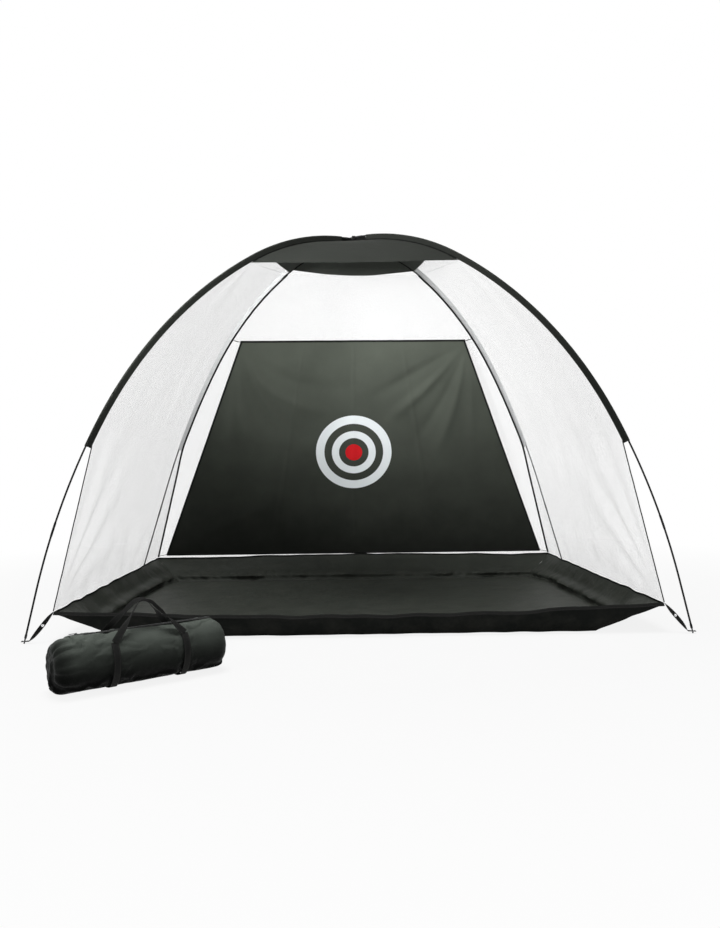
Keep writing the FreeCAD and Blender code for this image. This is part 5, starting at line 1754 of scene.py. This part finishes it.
class StageSetting(bpy.types.Operator):
    """Lay the floor, hang the lamps and place the camera"""

    bl_idname = "chipping.stage"
    bl_label = "Stage"

    def execute(self, context):
        settings = context.scene.chipping_stage
        self.floor(settings)
        self.world()
        self.lamp("top_lamp", (-0.8, -1.8, 9.0), (0.0, 0.0, 0.5), 4.0, 600)
        self.lamp("key_lamp", (-4.2, -4.6, 3.4), (0.0, 0.0, 0.9), 2.5, 40)
        self.lamp("fill_lamp", (3.6, -5.2, 2.0), (0.0, 0.0, 0.8), 2.5, 14)
        self.lamp("target_lamp", (-2.3, -2.7, 1.6), (0.3, 0.5, 1.5), 0.5, 12, 42)
        self.camera(settings)
        return {"FINISHED"}

    def floor(self, settings):
        finish = Finish("Pale floor")
        tree = finish.tree
        grain = spread(tree, cloud(tree, finish.place, 3.0, 3.0), 0.3, 0.7, 0.985, 1.0)
        tone = times(tree, full(settings.floor)[:3], grain)
        finish.set(Base_Color=tone, Roughness=0.9, Specular_IOR_Level=0.1)
        self.whiten(finish)
        clear()
        bpy.ops.mesh.primitive_plane_add(size=60, location=(0, 0, 0))
        floor = bpy.context.active_object
        floor.name = "pale_floor"
        floor.data.materials.append(finish.material)

    def whiten(self, finish):
        """The floor fades to the white backdrop away from the net and keeps its shadow."""
        tree = finish.tree
        level = times(tree, finish.place, (1.0, 1.0, 0.0))
        away = add(tree, "ShaderNodeVectorMath", [level], operation="LENGTH").outputs["Value"]
        share = calc(tree, "MULTIPLY", seen_directly(tree),
                     spread(tree, away, 1.8, 4.2, 0.86, 1.0))
        white = add(tree, "ShaderNodeEmission", [(1, 1, 1, 1), 1.0]).outputs[0]
        output = tree.nodes["Material Output"]
        both = add(tree, "ShaderNodeMixShader", [share, finish.shader.outputs[0], white])
        tree.links.new(both.outputs[0], output.inputs["Surface"])

    def world(self):
        world = bpy.data.worlds.new("Plain studio")
        bpy.context.scene.world = world
        world.use_nodes = True
        tree = world.node_tree
        tree.nodes.clear()
        seen = seen_directly(tree)
        light = add(tree, "ShaderNodeBackground", [(1, 1, 1, 1), 0.14]).outputs[0]
        backdrop = add(tree, "ShaderNodeBackground", [(1, 1, 1, 1), 1.0]).outputs[0]
        both = add(tree, "ShaderNodeMixShader", [seen, light, backdrop]).outputs[0]
        add(tree, "ShaderNodeOutputWorld", [both])

    def lamp(self, name, place, aim, size, power, spread_angle=180):
        clear()
        way = Vector(aim) - Vector(place)
        bpy.ops.object.light_add(type="AREA", location=place,
                                 rotation=way.to_track_quat("-Z", "Y").to_euler())
        lamp = bpy.context.active_object
        lamp.name = name
        lamp.data.size = size
        lamp.data.energy = power
        lamp.data.spread = math.radians(spread_angle)

    def camera(self, settings):
        turn = (
            Matrix.Rotation(-settings.camera_turn, 4, "Z")
            @ Matrix.Rotation(math.pi / 2 + settings.camera_rise, 4, "X")
            @ Matrix.Rotation(-settings.camera_roll, 4, "Z")
        )
        clear()
        bpy.ops.object.camera_add(location=settings.camera_place, rotation=turn.to_euler())
        camera = bpy.context.active_object
        camera.name = "camera"
        camera.data.sensor_width = 36
        camera.data.lens = settings.lens
        bpy.context.scene.camera = camera
        bpy.context.scene.view_settings.view_transform = "Standard"


OPERATORS = (
    PoleFinish, StageSetting, SleeveSewing, CrownSewing, NetHanging, SeamBinding, TraySewing,
    TargetHanging, TargetTies, CornerStraps, BagFilling, BagStraps, ZipFitting,
)
SETTINGS = {
    "chipping_net": NetSettings,
    "chipping_tray": TraySettings,
    "chipping_target": TargetSettings,
    "chipping_bag": BagSettings,
    "chipping_stage": StageSettings,
}


class ChippingNetPanel(bpy.types.Panel):
    """Pieces of the chipping net"""

    bl_idname = "VIEW3D_PT_chipping_net"
    bl_label = "Chipping net"
    bl_space_type = "VIEW_3D"
    bl_region_type = "UI"
    bl_category = "Chipping net"

    def draw(self, context):
        column = self.layout.column()
        for operator in OPERATORS:
            column.operator(operator.bl_idname)


def register():
    for group in SETTINGS.values():
        bpy.utils.register_class(group)
    for name, group in SETTINGS.items():
        setattr(bpy.types.Scene, name, bpy.props.PointerProperty(type=group))
    for operator in OPERATORS:
        bpy.utils.register_class(operator)
    bpy.utils.register_class(ChippingNetPanel)


def unregister():
    bpy.utils.unregister_class(ChippingNetPanel)
    for operator in reversed(OPERATORS):
        bpy.utils.unregister_class(operator)
    for name in SETTINGS:
        delattr(bpy.types.Scene, name)
    for group in reversed(list(SETTINGS.values())):
        bpy.utils.unregister_class(group)


def main():
    register()
    for operator in OPERATORS:
        group, name = operator.bl_idname.split(".")
        getattr(getattr(bpy.ops, group), name)()


if __name__ == "__main__":
    main()
